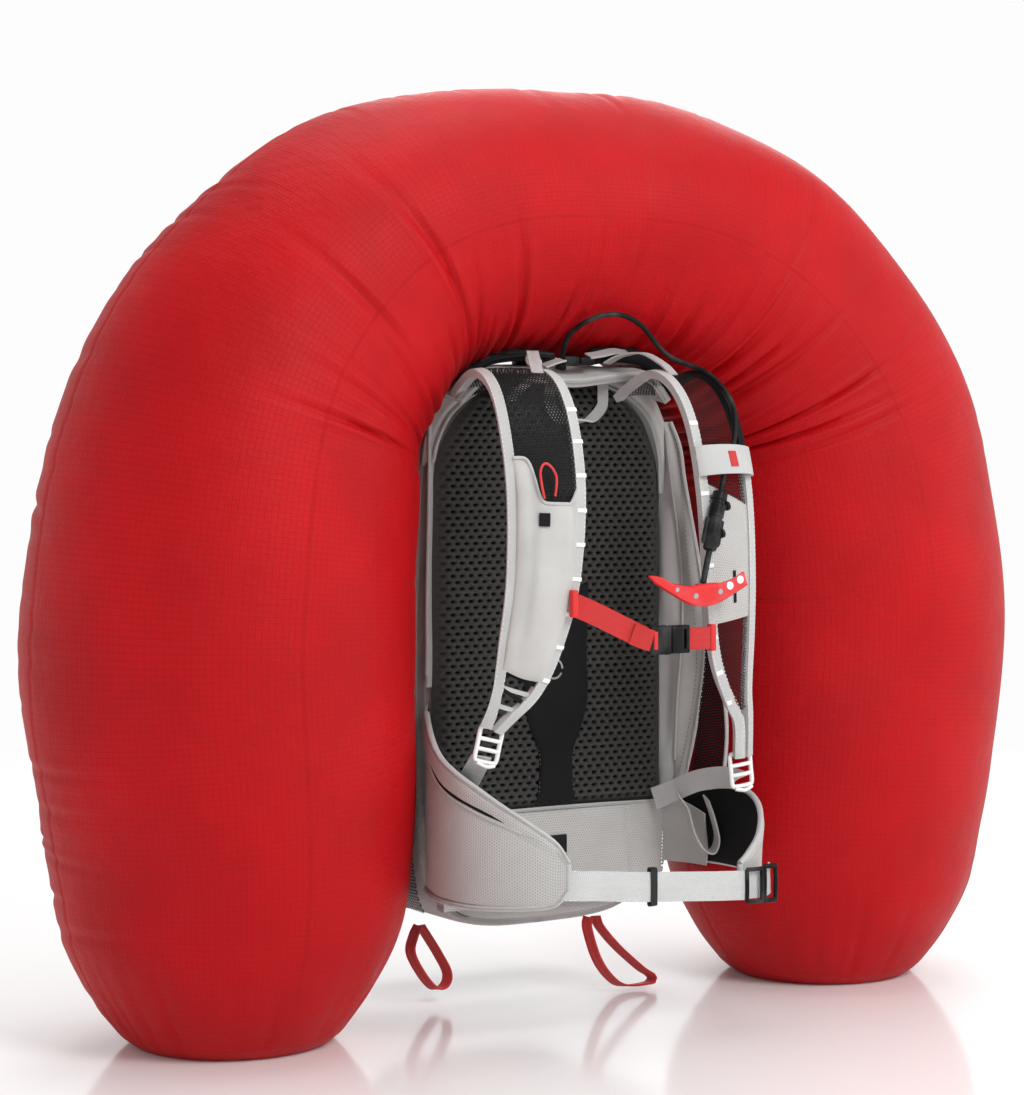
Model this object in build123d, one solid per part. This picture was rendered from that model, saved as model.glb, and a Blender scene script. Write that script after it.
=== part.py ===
from build123d import *
import math
import os

# Avalanche airbag backpack with its fan-filled airbag deployed. Millimetres.
# +X is towards the wearer's left, -Y is the harness side that the wearer's back touches, +Z is up.
# The origin is on the floor, midway between the two airbag lobes that the pack stands on.

# ---------------------------------------------------------------- driving dimensions
AIRBAG_Y = 20.0            # mid-plane of the airbag
AIRBAG_WALL = 1.2          # coated nylon, modelled thicker than the real cloth
# Airbag centreline and radius, wearer's left half. Each lobe stands on a flat and rounds out
# above it; the tube then bows outwards, leans over and narrows to the crown.
FOOT_FLAT = 88.0           # radius of the flat on the floor
FOOT_X = 320.0             # middle of the foot
FOOT_RISE = 155.0          # height where the foot has rounded out
FOOT_R = 160.0             # radius there
FOOT_FULLNESS = 0.75
BELLY = (333, 360, 174)    # the widest place: x, z, radius
LOBE_STEPS = 6
# (x, z, radius, lean of the tube from vertical in degrees)
SHOULDER = [(333, 360, 174, 0), (319, 492, 167, 13), (294, 577, 155, 29)]
HAUNCH = [(294, 577, 155, 29), (248, 643, 145, 42), (184, 698, 136, 58), (100, 729, 128, 79)]
CROWN_TOP = (0, 737, 125.5, 90)

PACK_DEPTH = 148.0         # harness wall to the main zip
COVER_DEPTH = 42.0         # outer panel beyond the main zip
PACK_WALL = 2.5
PACK_TOP = 600.0
PACK_BOTTOM = 74.0
# Front outline of the pack, wearer's left half, from the bottom middle upwards
PACK_HALF = [(108, PACK_BOTTOM), (135, 150), (136, 420), (126, 540), (84, PACK_TOP)]
PACK_CORNER = 26.0
RIM_DEPTH = 44.0           # padded collar round the top of the harness side
RIM_THICK = 15.0
RIM_LOW = 540.0

MESH_THICK = 15.0
MESH_HALF_WIDTH = 118.0
MESH_LOW, MESH_HIGH = 190.0, 572.0
LUMBAR_LOW, LUMBAR_HIGH = 98.0, 188.0

STRAP_THICK = 11.0
STRAP_SPLAY = 13.0         # degrees that each shoulder strap faces outwards
WEBBING = 20.0
WEBBING_THICK = 2.0
BELT_WEBBING = 29.0
# Centreline of the wearer's left shoulder strap, from the collar down to its buckle
STRAP_PATH = [(86, -48, 580), (89, -82, 592), (91, -116, 580), (94, -140, 545), (96, -155, 485),
              (99, -158, 410), (105, -151, 338), (118, -141, 292), (131, -132, 262)]
STRAP_WIDTHS = [62, 64, 66, 66, 66, 66, 64, 50, 30]

STERNUM_Z = 372.0
STERNUM_Y = -175.0
BELT_Z = 140.0
BELT_Y = -193.0

# Plan path of each hip wing with its lowest and highest edge: (x, y, low, high left, high right).
# The wearer's right wing stands up and the left one is folded down on itself.
WING_PATH = [(128, -9, 134, 184, 291), (147, -48, 134, 186, 288), (164, -92, 134, 196, 284),
             (160, -132, 134, 186, 262), (134, -164, 132, 170, 226), (90, -183, 128, 158, 172)]
WING_THICK = 8.0

IMPELLER_C = (-38.0, 38.0, 492.0)
IMPELLER_R = 42.0
VOLUTE_R = 56.0
COLLAR = (0.0, 31.0)       # x and y of the upright inlet collar
COLLAR_R = 18.0
MOUTH_Z = 618.0            # just inside the airbag's crown
SHAFT_R = 2.5

BATTERY = (136.0, 36.0, 88.0)
CABLE_R = 2.4
TRIGGER_TOP = (82.0, -171.0, 486.0)
TRIGGER_END = (54.0, -184.0, 402.0)

HARNESS_FACE = -MESH_THICK
os.makedirs("parts", exist_ok=True)


# ---------------------------------------------------------------- helpers
def save(name, shape):
    export_step(Compound(shape.solids()), f"parts/{name}.step")


def cord(route, radius):
    """A round cord of straight runs and tangent arcs through the route's points."""
    bends = []
    for a, b, c in zip(route, route[1:], route[2:]):
        first, second = Vector(*b) - Vector(*a), Vector(*c) - Vector(*b)
        turn = math.radians(first.get_angle(second))
        bends.append(0.45 * min(first.length, second.length) / math.tan(turn / 2))
    path = FilletPolyline(*route, radius=bends)
    start = Plane(origin=route[0], z_dir=Vector(*route[1]) - Vector(*route[0]))
    return sweep(start * Circle(radius), path)


def block(low, high):
    """A box between two corners."""
    size = [b - a for a, b in zip(low, high)]
    centre = [(a + b) / 2 for a, b in zip(low, high)]
    return Pos(*centre) * Box(*size)


def rod(start, end, radius):
    """A round bar between two points."""
    line = Vector(*end) - Vector(*start)
    return extrude(Plane(origin=start, z_dir=line) * Circle(radius), line.length)


def tube(start, end, outer, inner):
    return rod(start, end, outer) - rod(start, end, inner)


def front_face(points, corner=0.0):
    """A flat shape in the XZ plane at y = 0 from (x, z) points."""
    wire = Polyline(*[(x, 0, z) for x, z in points], close=True)
    face = make_face(wire)
    return fillet(face.vertices(), corner) if corner else face


def deep(face, y_low, y_high):
    """A front shape given depth between two y values."""
    return Pos(0, y_low, 0) * extrude(face, y_high - y_low, dir=(0, 1, 0))


def mirrored(shape):
    return mirror(shape, Plane.YZ)


def band(points, widths, thick, across):
    """A flat strap through points; across gives its width direction at each station."""
    sections = []
    last = len(points) - 1
    for i, point in enumerate(points):
        ahead = Vector(*points[min(i + 1, last)]) - Vector(*points[max(i - 1, 0)])
        side = Vector(*across[i])
        side = (side - ahead * (side.dot(ahead) / ahead.dot(ahead))).normalized()
        plane = Plane(origin=point, x_dir=side, z_dir=ahead)
        sections.append(plane * Rectangle(widths[i], thick))
    return loft(sections, ruled=True)


# ---------------------------------------------------------------- airbag
def airbag_tube(stations, wall, closed_foot=False):
    """A hollow length of the airbag through (x, z, radius, lean) stations."""
    def skin(shrink, lift):
        faces = []
        for i, (x, z, radius, lean) in enumerate(stations):
            up = math.radians(lean)
            z_at = z + (lift if i == 0 else 0)
            plane = Plane(origin=(x, AIRBAG_Y, z_at), x_dir=(0, 1, 0),
                          z_dir=(-math.sin(up), 0, math.cos(up)))
            faces.append(plane * Circle(radius - shrink))
        return loft(faces)
    return skin(0, 0) - skin(wall, wall if closed_foot else 0)


def lobe_stations():
    """The lobe in even steps: its foot rounds out quickly, then the tube swells slowly to its belly."""
    belly_x, belly_z, belly_r = BELLY
    stations = []
    for step in range(LOBE_STEPS + 1):
        z = belly_z * step / LOBE_STEPS
        rounding = math.sin(math.pi / 2 * min(1.0, z / FOOT_RISE)) ** FOOT_FULLNESS
        swell = max(0.0, z - FOOT_RISE) / (belly_z - FOOT_RISE)
        radius = FOOT_FLAT + (FOOT_R - FOOT_FLAT) * rounding
        radius += (belly_r - FOOT_R) * math.sin(math.pi / 2 * swell)
        stations.append((FOOT_X + (belly_x - FOOT_X) * swell, z, radius, 0))
    return stations


def airbag():
    lobe = airbag_tube(lobe_stations(), AIRBAG_WALL, closed_foot=True)
    shoulder = airbag_tube(SHOULDER, AIRBAG_WALL)
    haunch = airbag_tube(HAUNCH, AIRBAG_WALL)
    for name, panel in (("lobe", lobe), ("shoulder", shoulder), ("haunch", haunch)):
        save(f"airbag_{name}_left", panel)
        save(f"airbag_{name}_right", mirrored(panel))
    x, z, radius, lean = HAUNCH[-1]
    crown = airbag_tube([(x, z, radius, lean), CROWN_TOP, (-x, z, radius, 180 - lean)], AIRBAG_WALL)
    mouth = rod((COLLAR[0], COLLAR[1], 560), (COLLAR[0], COLLAR[1], 660), COLLAR_R + 0.4)
    save("airbag_crown", crown - mouth)


# ---------------------------------------------------------------- pack shell
def pack_outline():
    right = PACK_HALF
    left = [(-x, z) for x, z in reversed(PACK_HALF)]
    return front_face(left + right, PACK_CORNER)


def mesh_outline():
    half = MESH_HALF_WIDTH
    arch = front_face([(-half, MESH_LOW), (half, MESH_LOW), (half, 490), (66, MESH_HIGH), (-66, MESH_HIGH),
                       (-half, 490)])
    return fillet([v for v in arch.vertices() if v.Z > MESH_LOW + 1], 60)


def pack_shell():
    outline = pack_outline()
    inner = offset(outline, -PACK_WALL)
    tub = deep(outline, 0, PACK_DEPTH) - deep(inner, PACK_WALL, PACK_DEPTH + 1)
    tub -= rod((COLLAR[0], COLLAR[1], PACK_TOP - 8), (COLLAR[0], COLLAR[1], PACK_TOP + 5), COLLAR_R + 0.4)
    save("pack_body", tub)

    cover = deep(outline, PACK_DEPTH, PACK_DEPTH + COVER_DEPTH)
    rear = cover.faces().sort_by(Axis.Y)[-1]
    cover = fillet(rear.edges(), 22)
    hollow = deep(inner, PACK_DEPTH - 1, PACK_DEPTH + COVER_DEPTH - PACK_WALL)
    hollow_rear = hollow.faces().sort_by(Axis.Y)[-1]
    hollow = fillet(hollow_rear.edges(), 19)
    save("outer_panel", cover - hollow)

    region = block((-200, -RIM_DEPTH, RIM_LOW), (200, 0, 700))
    rim = deep(outline, -RIM_DEPTH, -0.2) - deep(offset(outline, -RIM_THICK), -RIM_DEPTH - 1, 1)
    shoulders = deep(outline, -MESH_THICK, -0.2) - deep(offset(mesh_outline(), 1.0), -RIM_DEPTH, 1)
    collar = (rim + shoulders) & region
    save("top_collar", collar)


def main_zip():
    x = PACK_HALF[2][0] + 0.3
    y = PACK_DEPTH - 1
    z = 330
    slider = block((x, y - 4, z - 6), (x + 3.2, y + 4, z + 6))
    eye = block((x + 3.2, y - 1.5, z - 5), (x + 7.5, y + 1.5, z - 2.5))
    eye -= rod((x + 5.6, y - 3, z - 3.75), (x + 5.6, y + 3, z - 3.75), 0.9)
    save("zip_slider", slider + block((x + 3.2, y - 3.6, z - 5), (x + 7.5, y - 2.0, z + 1)) + block(
        (x + 3.2, y + 2.0, z - 5), (x + 7.5, y + 3.6, z + 1)) + rod(
        (x + 5.9, y - 2.2, z - 3.2), (x + 5.9, y + 2.2, z - 3.2), 0.9))
    ring = tube((x + 5.9, y - 1.6, z - 3.2), (x + 5.9, y + 1.6, z - 3.2), 2.6, 1.15)
    tab = block((x + 4.4, y - 1.6, z - 32), (x + 7.0, y + 1.6, z - 5.4))
    save("zip_pull", ring + tab - rod((x + 5.9, y - 3, z - 3.2), (x + 5.9, y + 3, z - 3.2), 1.15))


def airbag_flaps():
    """The torn-open zip flap down each side of the harness face, bowed forward by the lobe."""
    stations = [(530, 133, -22), (490, 134, -30), (440, 138, -40), (390, 143, -46), (312, 145, -47)]
    faces = []
    for z, x, y in stations:
        root = Vector(126.5, -2.2, z)
        edge = Vector(x, y, z)
        plane = Plane(origin=(root + edge) * 0.5, x_dir=edge - root, z_dir=(0, 0, -1))
        faces.append(plane * Rectangle((edge - root).length, 2.0))
    flap = loft(faces, ruled=True)
    save("airbag_flaps", Compound([flap, mirrored(flap)]))


# ---------------------------------------------------------------- back panel
def back_panel():
    save("back_mesh", deep(mesh_outline(), -MESH_THICK, -0.2))
    spine = front_face([(-20, 194), (20, 194), (16, 250), (32, 300), (34, 380), (-34, 380), (-32, 300),
                        (-16, 250)])
    save("spine_pad", deep(fillet(spine.vertices(), 6), HARNESS_FACE - 3.2, HARNESS_FACE - 0.2))
    lumbar = front_face([(-118, LUMBAR_LOW), (118, LUMBAR_LOW), (120, LUMBAR_HIGH), (-120, LUMBAR_HIGH)], 8)
    pad = deep(lumbar, -20, -0.2)
    save("lumbar_pad", fillet(pad.faces().sort_by(Axis.Y)[0].edges(), 6))


# ---------------------------------------------------------------- inner frame and blower
def inner_frame():
    sheet = front_face([(-100, 90), (100, 90), (100, 560), (-100, 560)], 18)
    save("frame_sheet", deep(sheet, 3.0, 5.0))
    stays = Compound([block((s * 88 - 9, 5.2, 110), (s * 88 + 9, 8.2, 545)) for s in (-1, 1)])
    save("frame_stays", stays)


def blower():
    x, y, z = IMPELLER_C
    low, high = y - 22, y + 22
    split = y + 14
    outer = rod((x, low, z), (x, high, z), VOLUTE_R)
    outer += block((COLLAR[0] - 23, low, z), (COLLAR[0] + 23, high, 566))
    inner = rod((x, low + 3, z), (x, high - 3, z), VOLUTE_R - 3)
    inner += block((COLLAR[0] - 20, low + 3, z), (COLLAR[0] + 20, high - 3, 563))
    mouth = rod((COLLAR[0], COLLAR[1], 560), (COLLAR[0], COLLAR[1], 570), COLLAR_R - 3)
    spots = [(x + VOLUTE_R * math.cos(a) * 1.06, z + VOLUTE_R * math.sin(a) * 1.06)
             for a in map(math.radians, (110, 200, 290))]
    ears = [rod((a, split - 8, b), (a, split + 4, b), 5.5) for a, b in spots]
    holes = [rod((a, split - 9, b), (a, split + 5, b), 1.55) for a, b in spots]
    screws = [rod((a, split - 7, b), (a, split + 4.2, b), 1.5) + rod((a, split + 4.2, b), (a, split + 6, b), 3)
              for a, b in spots]
    shell = outer + ears - inner - mouth - holes
    back_half = block((-200, low - 1, 300), (200, split, 700))
    base = shell & back_half
    base -= rod((x, low - 1, z), (x, low + 4, z), SHAFT_R + 0.06)
    save("blower_base", base)
    cover = shell - back_half
    cover -= rod((x, high - 4, z), (x, high + 1, z), 25)
    for radius in (8, 17):
        cover += tube((x, high - 3, z), (x, high, z), radius + 1, radius - 1)
    for turn in range(3):
        cover += Pos(x, high - 1.5, z) * Rot(0, turn * 60, 0) * Box(52, 3, 2)
    save("blower_cover", cover)

    hub = rod((x, low + 5, z), (x, high - 6, z), 9)
    plate = rod((x, low + 5, z), (x, low + 7, z), IMPELLER_R)
    wheel = hub + plate
    for i in range(9):
        blade = Pos(x, y - 2, z) * Rot(0, i * 40, 0) * Pos(25, 0, 6) * Rot(0, 28, 0) * Box(32, 30, 1.8)
        wheel += blade & rod((x, low + 6, z), (x, high - 6, z), IMPELLER_R)
    wheel -= rod((x, low, z), (x, high, z), SHAFT_R + 0.02)
    save("impeller", wheel)
    save("motor_shaft", rod((x, low - 3.5, z), (x, high - 8, z), SHAFT_R))
    motor = rod((x, 6, z), (x, low - 0.2, z), 19) - rod((x, low - 4, z), (x, low, z), SHAFT_R + 0.06)
    save("blower_motor", motor)
    save("blower_screws", Compound(screws))


def inlet():
    x, y = COLLAR
    lip = MOUTH_Z + 4
    pipe = tube((x, y, 566.2), (x, y, lip), COLLAR_R, COLLAR_R - 3)
    pipe += tube((x, y, 566.2), (x, y, 569), COLLAR_R + 3, COLLAR_R - 3)
    pipe += tube((x, y, PACK_TOP + 0.2), (x, y, PACK_TOP + 2.6), COLLAR_R + 9, COLLAR_R - 3)
    pipe += tube((x, y, MOUTH_Z), (x, y, MOUTH_Z + 2.4), COLLAR_R + 7, COLLAR_R - 3)
    hinge_y, hinge_z = y + COLLAR_R + 3, lip + 3.2
    for side in (-1, 1):
        pipe += block((x + side * 9 - 2, hinge_y - 3, MOUTH_Z), (x + side * 9 + 2, hinge_y + 3, lip + 6.5))
    pin_hole = rod((x - 15, hinge_y, hinge_z), (x + 15, hinge_y, hinge_z), 1.3)
    save("inlet_collar", pipe - pin_hole)
    flap = rod((x, y, lip + 0.3), (x, y, lip + 1.8), COLLAR_R - 0.5)
    flap += block((x - 6.5, y + 12, lip + 0.3), (x + 6.5, hinge_y + 1, lip + 1.8))
    flap += rod((x - 6.5, hinge_y, hinge_z), (x + 6.5, hinge_y, hinge_z), 2.6)
    flap -= rod((x - 15, hinge_y, hinge_z), (x + 15, hinge_y, hinge_z), 1.35)
    save("check_valve_flap", flap)
    save("valve_pin", rod((x - 12, hinge_y, hinge_z), (x + 12, hinge_y, hinge_z), 1.28))


def electronics():
    length, depth, height = BATTERY
    z = 104
    y = 12
    tray = block((-length / 2 - 4, y - 3, z - 4), (length / 2 + 4, y + depth + 3, z + 46))
    tray -= block((-length / 2 - 1, y - 0.6, z - 0.6), (length / 2 + 1, y + depth + 0.6, z + 60))
    save("battery_tray", tray)
    pack = block((-length / 2, y, z), (length / 2, y + depth, z + height))
    save("battery_pack", fillet(pack.edges().filter_by(Axis.Z), 5))
    box = block((20, 12, 330), (96, 36, 384))
    box = fillet(box.edges().filter_by(Axis.Y), 6)
    shell = box - block((23, 15, 333), (93, 33, 381))
    shell -= rod((44, 32, 357), (44, 40, 357), 7.2)
    shell -= rod((72, 32, 357), (72, 40, 357), 4.0)
    save("controller_case", shell)
    button = rod((44, 33.2, 357), (44, 38.6, 357), 7.0) + rod((44, 29.0, 357), (44, 33.0, 357), 9.0)
    button += rod((44, 32.9, 357), (44, 33.3, 357), 7.0)
    save("power_button", button)
    save("status_lens", rod((72, 32.2, 357), (72, 36.8, 357), 3.9))
    route = [(length / 2 + 5.4, 28, 122), (88, 28, 126), (98, 28, 148), (98, 27, 190), (92, 26, 240),
             (84, 25, 290), (82, 25, 329.8)]
    save("battery_lead", cord(route, 2.2))


# ---------------------------------------------------------------- harness
def splayed(count, sign=1):
    turn = math.radians(STRAP_SPLAY)
    return [(math.cos(turn), sign * math.sin(turn), 0)] * count


def shoulder_straps():
    strap = band(STRAP_PATH, STRAP_WIDTHS, STRAP_THICK, splayed(len(STRAP_PATH)))
    save("shoulder_strap_left", strap)
    save("shoulder_strap_right", mirrored(strap))


def strap_outer(index, lift, along=0.0):
    """A point on the outer face of the wearer's left strap, lift beyond it."""
    x, y, z = STRAP_PATH[index]
    turn = math.radians(STRAP_SPLAY)
    reach = STRAP_THICK / 2 + lift
    return (x + reach * math.sin(turn) + along * math.cos(turn),
            y - reach * math.cos(turn) + along * math.sin(turn), z)


def strap_furniture():
    # stretch pocket on the wearer's right strap
    path = [strap_outer(i, 4.2, 4) for i in (4, 5, 6)]
    pocket = band(path, [50, 50, 44], 7.0, splayed(3))
    save("strap_pocket", mirrored(pocket))
    # loop band and trigger sleeve on the wearer's left strap
    high = Vector(*strap_outer(3, 13.5)) * 0.6 + Vector(*strap_outer(4, 13.5)) * 0.4
    low = high + Vector(0.6, -8.5, -21)
    save("trigger_band", band([tuple(high), tuple(low)], [62, 62], 1.6, splayed(2)))


def ladder_lock(centre, direction):
    """A flat buckle frame with two crossbar slots."""
    plane = Plane(origin=centre, x_dir=direction, z_dir=Vector(*direction).cross(Vector(0, 0.25, 1)))
    frame = extrude(plane * RectangleRounded(30, 27, 4), 2.2, both=True)
    slots = [plane.offset(0) * Pos(0, shift) * Rectangle(22, 4.6) for shift in (-7.5, 0, 7.5)]
    for slot in slots:
        frame -= extrude(slot, 6, both=True)
    return frame


def lower_adjusters():
    end = STRAP_PATH[-1]
    centre = (end[0] + 2.5, end[1] + 4.2, end[2] - 17)
    lock = ladder_lock(centre, (math.cos(0.2), math.sin(0.2), 0))
    save("ladder_locks", Compound([lock, mirrored(lock)]))
    path = [(110, -24.8, 186), (122, -50, 199), (130, -84, 216), (centre[0] - 1, centre[1] + 9, centre[2] - 14)]
    webbing = band(path, [40, 30, 21, 20], WEBBING_THICK, [(0.1, 0.2, 1)] * 3 + [(1, 0.2, 0.4)])
    save("lower_webbing", Compound([webbing, mirrored(webbing)]))


def sternum_strap():
    y, z = STERNUM_Y, STERNUM_Z
    half = WEBBING / 2
    right = block((-70, y - 1, z - half), (2, y + 1, z + half))
    right += block((-76, y - 1, z - half - 2), (-70, y + 6, z + half + 2))
    save("sternum_webbing_right", right)
    left = block((45.2, y - 1, z - half), (68, y + 1, z + half))
    left += block((68, y - 1, z - half - 2), (74, y + 6, z + half + 2))
    save("sternum_webbing_left", left)
    socket = block((2.2, y - 5, z - 13), (24, y + 5, z + 13))
    socket = fillet(socket.edges().filter_by(Axis.Y), 2)
    socket -= block((5, y - 3, z - 10), (25, y + 3, z + 10))
    save("sternum_buckle_socket", socket)
    prong = block((24.4, y - 5, z - 12.5), (45, y + 5, z + 12.5))
    prong = fillet(prong.edges().filter_by(Axis.Y), 2)
    for side in (-1, 1):
        prong += block((10, y - 2.4, z + side * 7 - 2), (25, y + 2.4, z + side * 7 + 2))
    save("sternum_buckle_prong", prong)


def trigger():
    top, end = Vector(*TRIGGER_TOP), Vector(*TRIGGER_END)
    down = (end - top).normalized()
    body_end = top + down * 56
    body = rod(tuple(top), tuple(body_end), 7.0)
    for reach in (18, 44):
        spot = top + down * reach
        body += rod(tuple(spot + Vector(4, 0, 2)), tuple(spot + Vector(13, 0, 4)), 4.2)
    body -= rod(tuple(top + down * 12), tuple(body_end + down), 3.2)
    save("trigger_housing", body)
    plunger = rod(tuple(top + down * 14), tuple(end - down * 3), 2.8)
    knuckle = block((end.X - 5, end.Y - 4, end.Z - 10), (end.X + 5, end.Y + 4, end.Z + 2))
    pivot = (end.X, end.Y, end.Z - 5)
    bore = rod((pivot[0], pivot[1] - 6, pivot[2]), (pivot[0], pivot[1] + 6, pivot[2]), 2.0)
    save("trigger_plunger", plunger + knuckle - bore)
    return pivot, down


def trigger_handle(pivot):
    """A wide pull handle, lower in the middle, with two oval-ended windows in one arm."""
    px, py, pz = pivot
    outline = [(-64, 17), (-54, 8), (-17, -11), (15, -8), (42, 5), (38, 18), (15, 9), (-10, 5), (-40, 9),
               (-52, 18)]
    face = fillet(front_face([(px + a, pz + b) for a, b in outline]).vertices(), 1.5)
    grip = deep(face, py - 10.0, py - 4.4)
    for a, b in ((22, 4), (32, 9)):
        grip -= rod((px + a, py - 20, pz + b), (px + a, py, pz + b), 3.0)
    grip += rod((px, py - 6, pz), (px, py + 5.5, pz), 1.92)
    save("trigger_handle", grip)


def trigger_cable():
    """A sheathed cable out of the collar, over in a free arc and down the left strap."""
    last = Vector(*TRIGGER_TOP)
    lead_in = last - (Vector(*TRIGGER_END) - last).normalized() * 17
    route = [(0, -27, PACK_TOP + 1.6), (-4, -37, 617), (-7, -52, 629), (-2, -66, 638), (8, -76, 645),
             (23, -80, 648), (39, -81, 646), (58, -78, 637), (73, -76, 621), (84, -80, 609), (97, -90, 602),
             (108, -106, 596), (114.5, -126, 581), (115.5, -144, 562), (111.5, -151.5, 540),
             (102, -159, 520), tuple(lead_in), tuple(last)]
    save("trigger_cable", cord(route, CABLE_R))


# ---------------------------------------------------------------- hip belt
def wing(path, thick):
    faces = []
    for i, (x, y, low, high) in enumerate(path):
        before, after = path[max(i - 1, 0)], path[min(i + 1, len(path) - 1)]
        ahead = Vector(after[0] - before[0], after[1] - before[1], 0)
        side = ahead.cross(Vector(0, 0, 1))
        plane = Plane(origin=(x, y, (low + high) / 2), x_dir=side, z_dir=ahead)
        faces.append(plane * Rectangle(thick, high - low))
    return loft(faces, ruled=True)


def hip_belt():
    left = [(x, y, low, high) for x, y, low, high, _ in WING_PATH]
    right = [(-x, y, low, high) for x, y, low, _, high in WING_PATH]
    save("hip_wing_left", wing(left, WING_THICK))
    save("hip_wing_right", wing(right, WING_THICK))
    y = BELT_Y
    low, high = BELT_Z - BELT_WEBBING / 2, BELT_Z + BELT_WEBBING / 2
    pin_x = 101.0
    webbing = block((-96, y - 1, low), (pin_x - 2.2, y + 1, high))
    webbing += tube((pin_x, y, low), (pin_x, y, high), 3.2, 1.58)
    save("belt_webbing", webbing)
    keeper = block((8, y - 3.4, low - 2.4), (15, y + 3.4, high + 2.4))
    save("belt_keeper", keeper - block((7, y - 1.05, low - 0.05), (16, y + 1.05, high + 0.05)))
    # hook plate hinged on the webbing's end pin
    hook = rod((pin_x, y, low - 4), (pin_x, y, high + 4), 1.5)
    for base in (low - 4, high + 0.6):
        hook += block((pin_x - 2.5, y - 4.6, base), (pin_x + 10, y + 1.6, base + 3.4))
    hook += block((pin_x + 5, y - 4.6, low - 4), (pin_x + 33, y - 2.2, high + 4))
    hook += block((pin_x + 30.4, y - 4.6, low - 1), (pin_x + 33, y + 2.4, high + 1))
    save("belt_hook", hook)
    # bar frame on the end of the left wing
    frame = block((113, y - 1.4, low - 6), (121, y + 2.0, high + 6))
    for base in (low - 6, high + 2):
        frame += block((113, y - 1.4, base), (148, y + 5.0, base + 4))
    frame += block((142, y - 1.4, low - 6), (148, y + 5.0, high + 6))
    save("belt_frame", frame)


# ---------------------------------------------------------------- small soft fittings
def webbing_loop(outline, y_low, y_high, thick=1.8):
    """A loop of webbing seen from the front, its width running front to back."""
    outer = front_face(outline)
    return deep(outer, y_low, y_high) - deep(offset(outer, -thick), y_low - 1, y_high + 1)


def loops():
    top = PACK_BOTTOM - 4
    right = [(-112, top), (-99, top), (-83, 47), (-73, 29), (-76, 16), (-88, 13), (-101, 27), (-114, 50)]
    left = [(53, top), (69, top), (90, 44), (116, 20), (130, 12), (127, 4), (96, 4), (80, 14), (65, 34)]
    save("ski_loop_right", webbing_loop(right, 54.5, 65.5))
    save("ski_loop_left", webbing_loop(left, 14.5, 25.5))
    outer = [(-13, 575), (-13, 562), (0, 549), (31, 549), (46, 562), (46, 575)]
    inner = [(-11.2, 576), (-11.2, 562.8), (0.8, 550.8), (30.2, 550.8), (44.2, 562.8), (44.2, 576)]
    save("grab_loop", deep(front_face(outer), -33, -21) - deep(front_face(inner), -34, -20))
    lifter = band([(46, -47, 606), (58, -74, 612), (71, -103, 597)], [14] * 3, 1.8, [(1, 0.3, 0)] * 3)
    save("load_lifters", Compound([lifter, mirrored(lifter)]))


def top_closure():
    """The parted airbag outlet zip, rolled along the collar, and the clip between its halves."""
    y, z = -32, PACK_TOP + 6.5
    right = band([(-103, y, 585), (-84, y, 603.5), (-66, y, z), (-14, y, z)], [15] * 4, 9, [(0, 1, 0)] * 4)
    left = band([(103, y, 585), (84, y, 603.5), (66, y, z), (30, y, z)], [15] * 4, 9, [(0, 1, 0)] * 4)
    save("outlet_zip", Compound([right, left]))
    low = PACK_TOP + 0.3
    socket = block((-11, -52, low), (6, -41, low + 9)) - block((-8, -50.4, low + 1.6), (7, -42.6, low + 7.4))
    save("top_buckle_socket", socket)
    prong = block((6.4, -51.4, low + 0.6), (22, -41.6, low + 8.4))
    prong += block((-4, -49, low + 2.8), (7, -44, low + 6.2))
    save("top_buckle_prong", prong)


airbag()
pack_shell()
main_zip()
airbag_flaps()
back_panel()
inner_frame()
blower()
inlet()
electronics()
shoulder_straps()
strap_furniture()
lower_adjusters()
sternum_strap()
PIVOT, DOWN = trigger()
trigger_handle(PIVOT)
trigger_cable()
hip_belt()
loops()
top_closure()
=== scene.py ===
import math

import bmesh
import bpy
import numpy as np
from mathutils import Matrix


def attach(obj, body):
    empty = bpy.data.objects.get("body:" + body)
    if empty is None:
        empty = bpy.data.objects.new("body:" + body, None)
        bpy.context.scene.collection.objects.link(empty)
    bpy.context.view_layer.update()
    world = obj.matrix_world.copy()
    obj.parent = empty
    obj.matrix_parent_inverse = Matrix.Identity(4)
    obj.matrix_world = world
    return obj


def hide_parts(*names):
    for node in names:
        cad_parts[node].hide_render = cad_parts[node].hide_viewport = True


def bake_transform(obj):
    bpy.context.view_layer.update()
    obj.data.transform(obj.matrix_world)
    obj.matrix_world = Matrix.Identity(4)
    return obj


# An avalanche airbag backpack, airbag deployed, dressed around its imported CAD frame.
# Shapes are written in millimetres, like the CAD, and become metres in make_mesh.
# +X is the wearer's left, -Y the harness side, +Z up.

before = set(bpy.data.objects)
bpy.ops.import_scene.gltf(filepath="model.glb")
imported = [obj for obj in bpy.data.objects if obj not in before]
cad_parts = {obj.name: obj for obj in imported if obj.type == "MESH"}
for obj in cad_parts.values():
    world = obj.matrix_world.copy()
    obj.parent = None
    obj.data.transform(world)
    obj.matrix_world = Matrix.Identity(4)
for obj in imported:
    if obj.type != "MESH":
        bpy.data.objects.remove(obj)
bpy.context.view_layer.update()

MM = 0.001
IMAGE_HEIGHT = 1095        # for the lens and its shift


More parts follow.
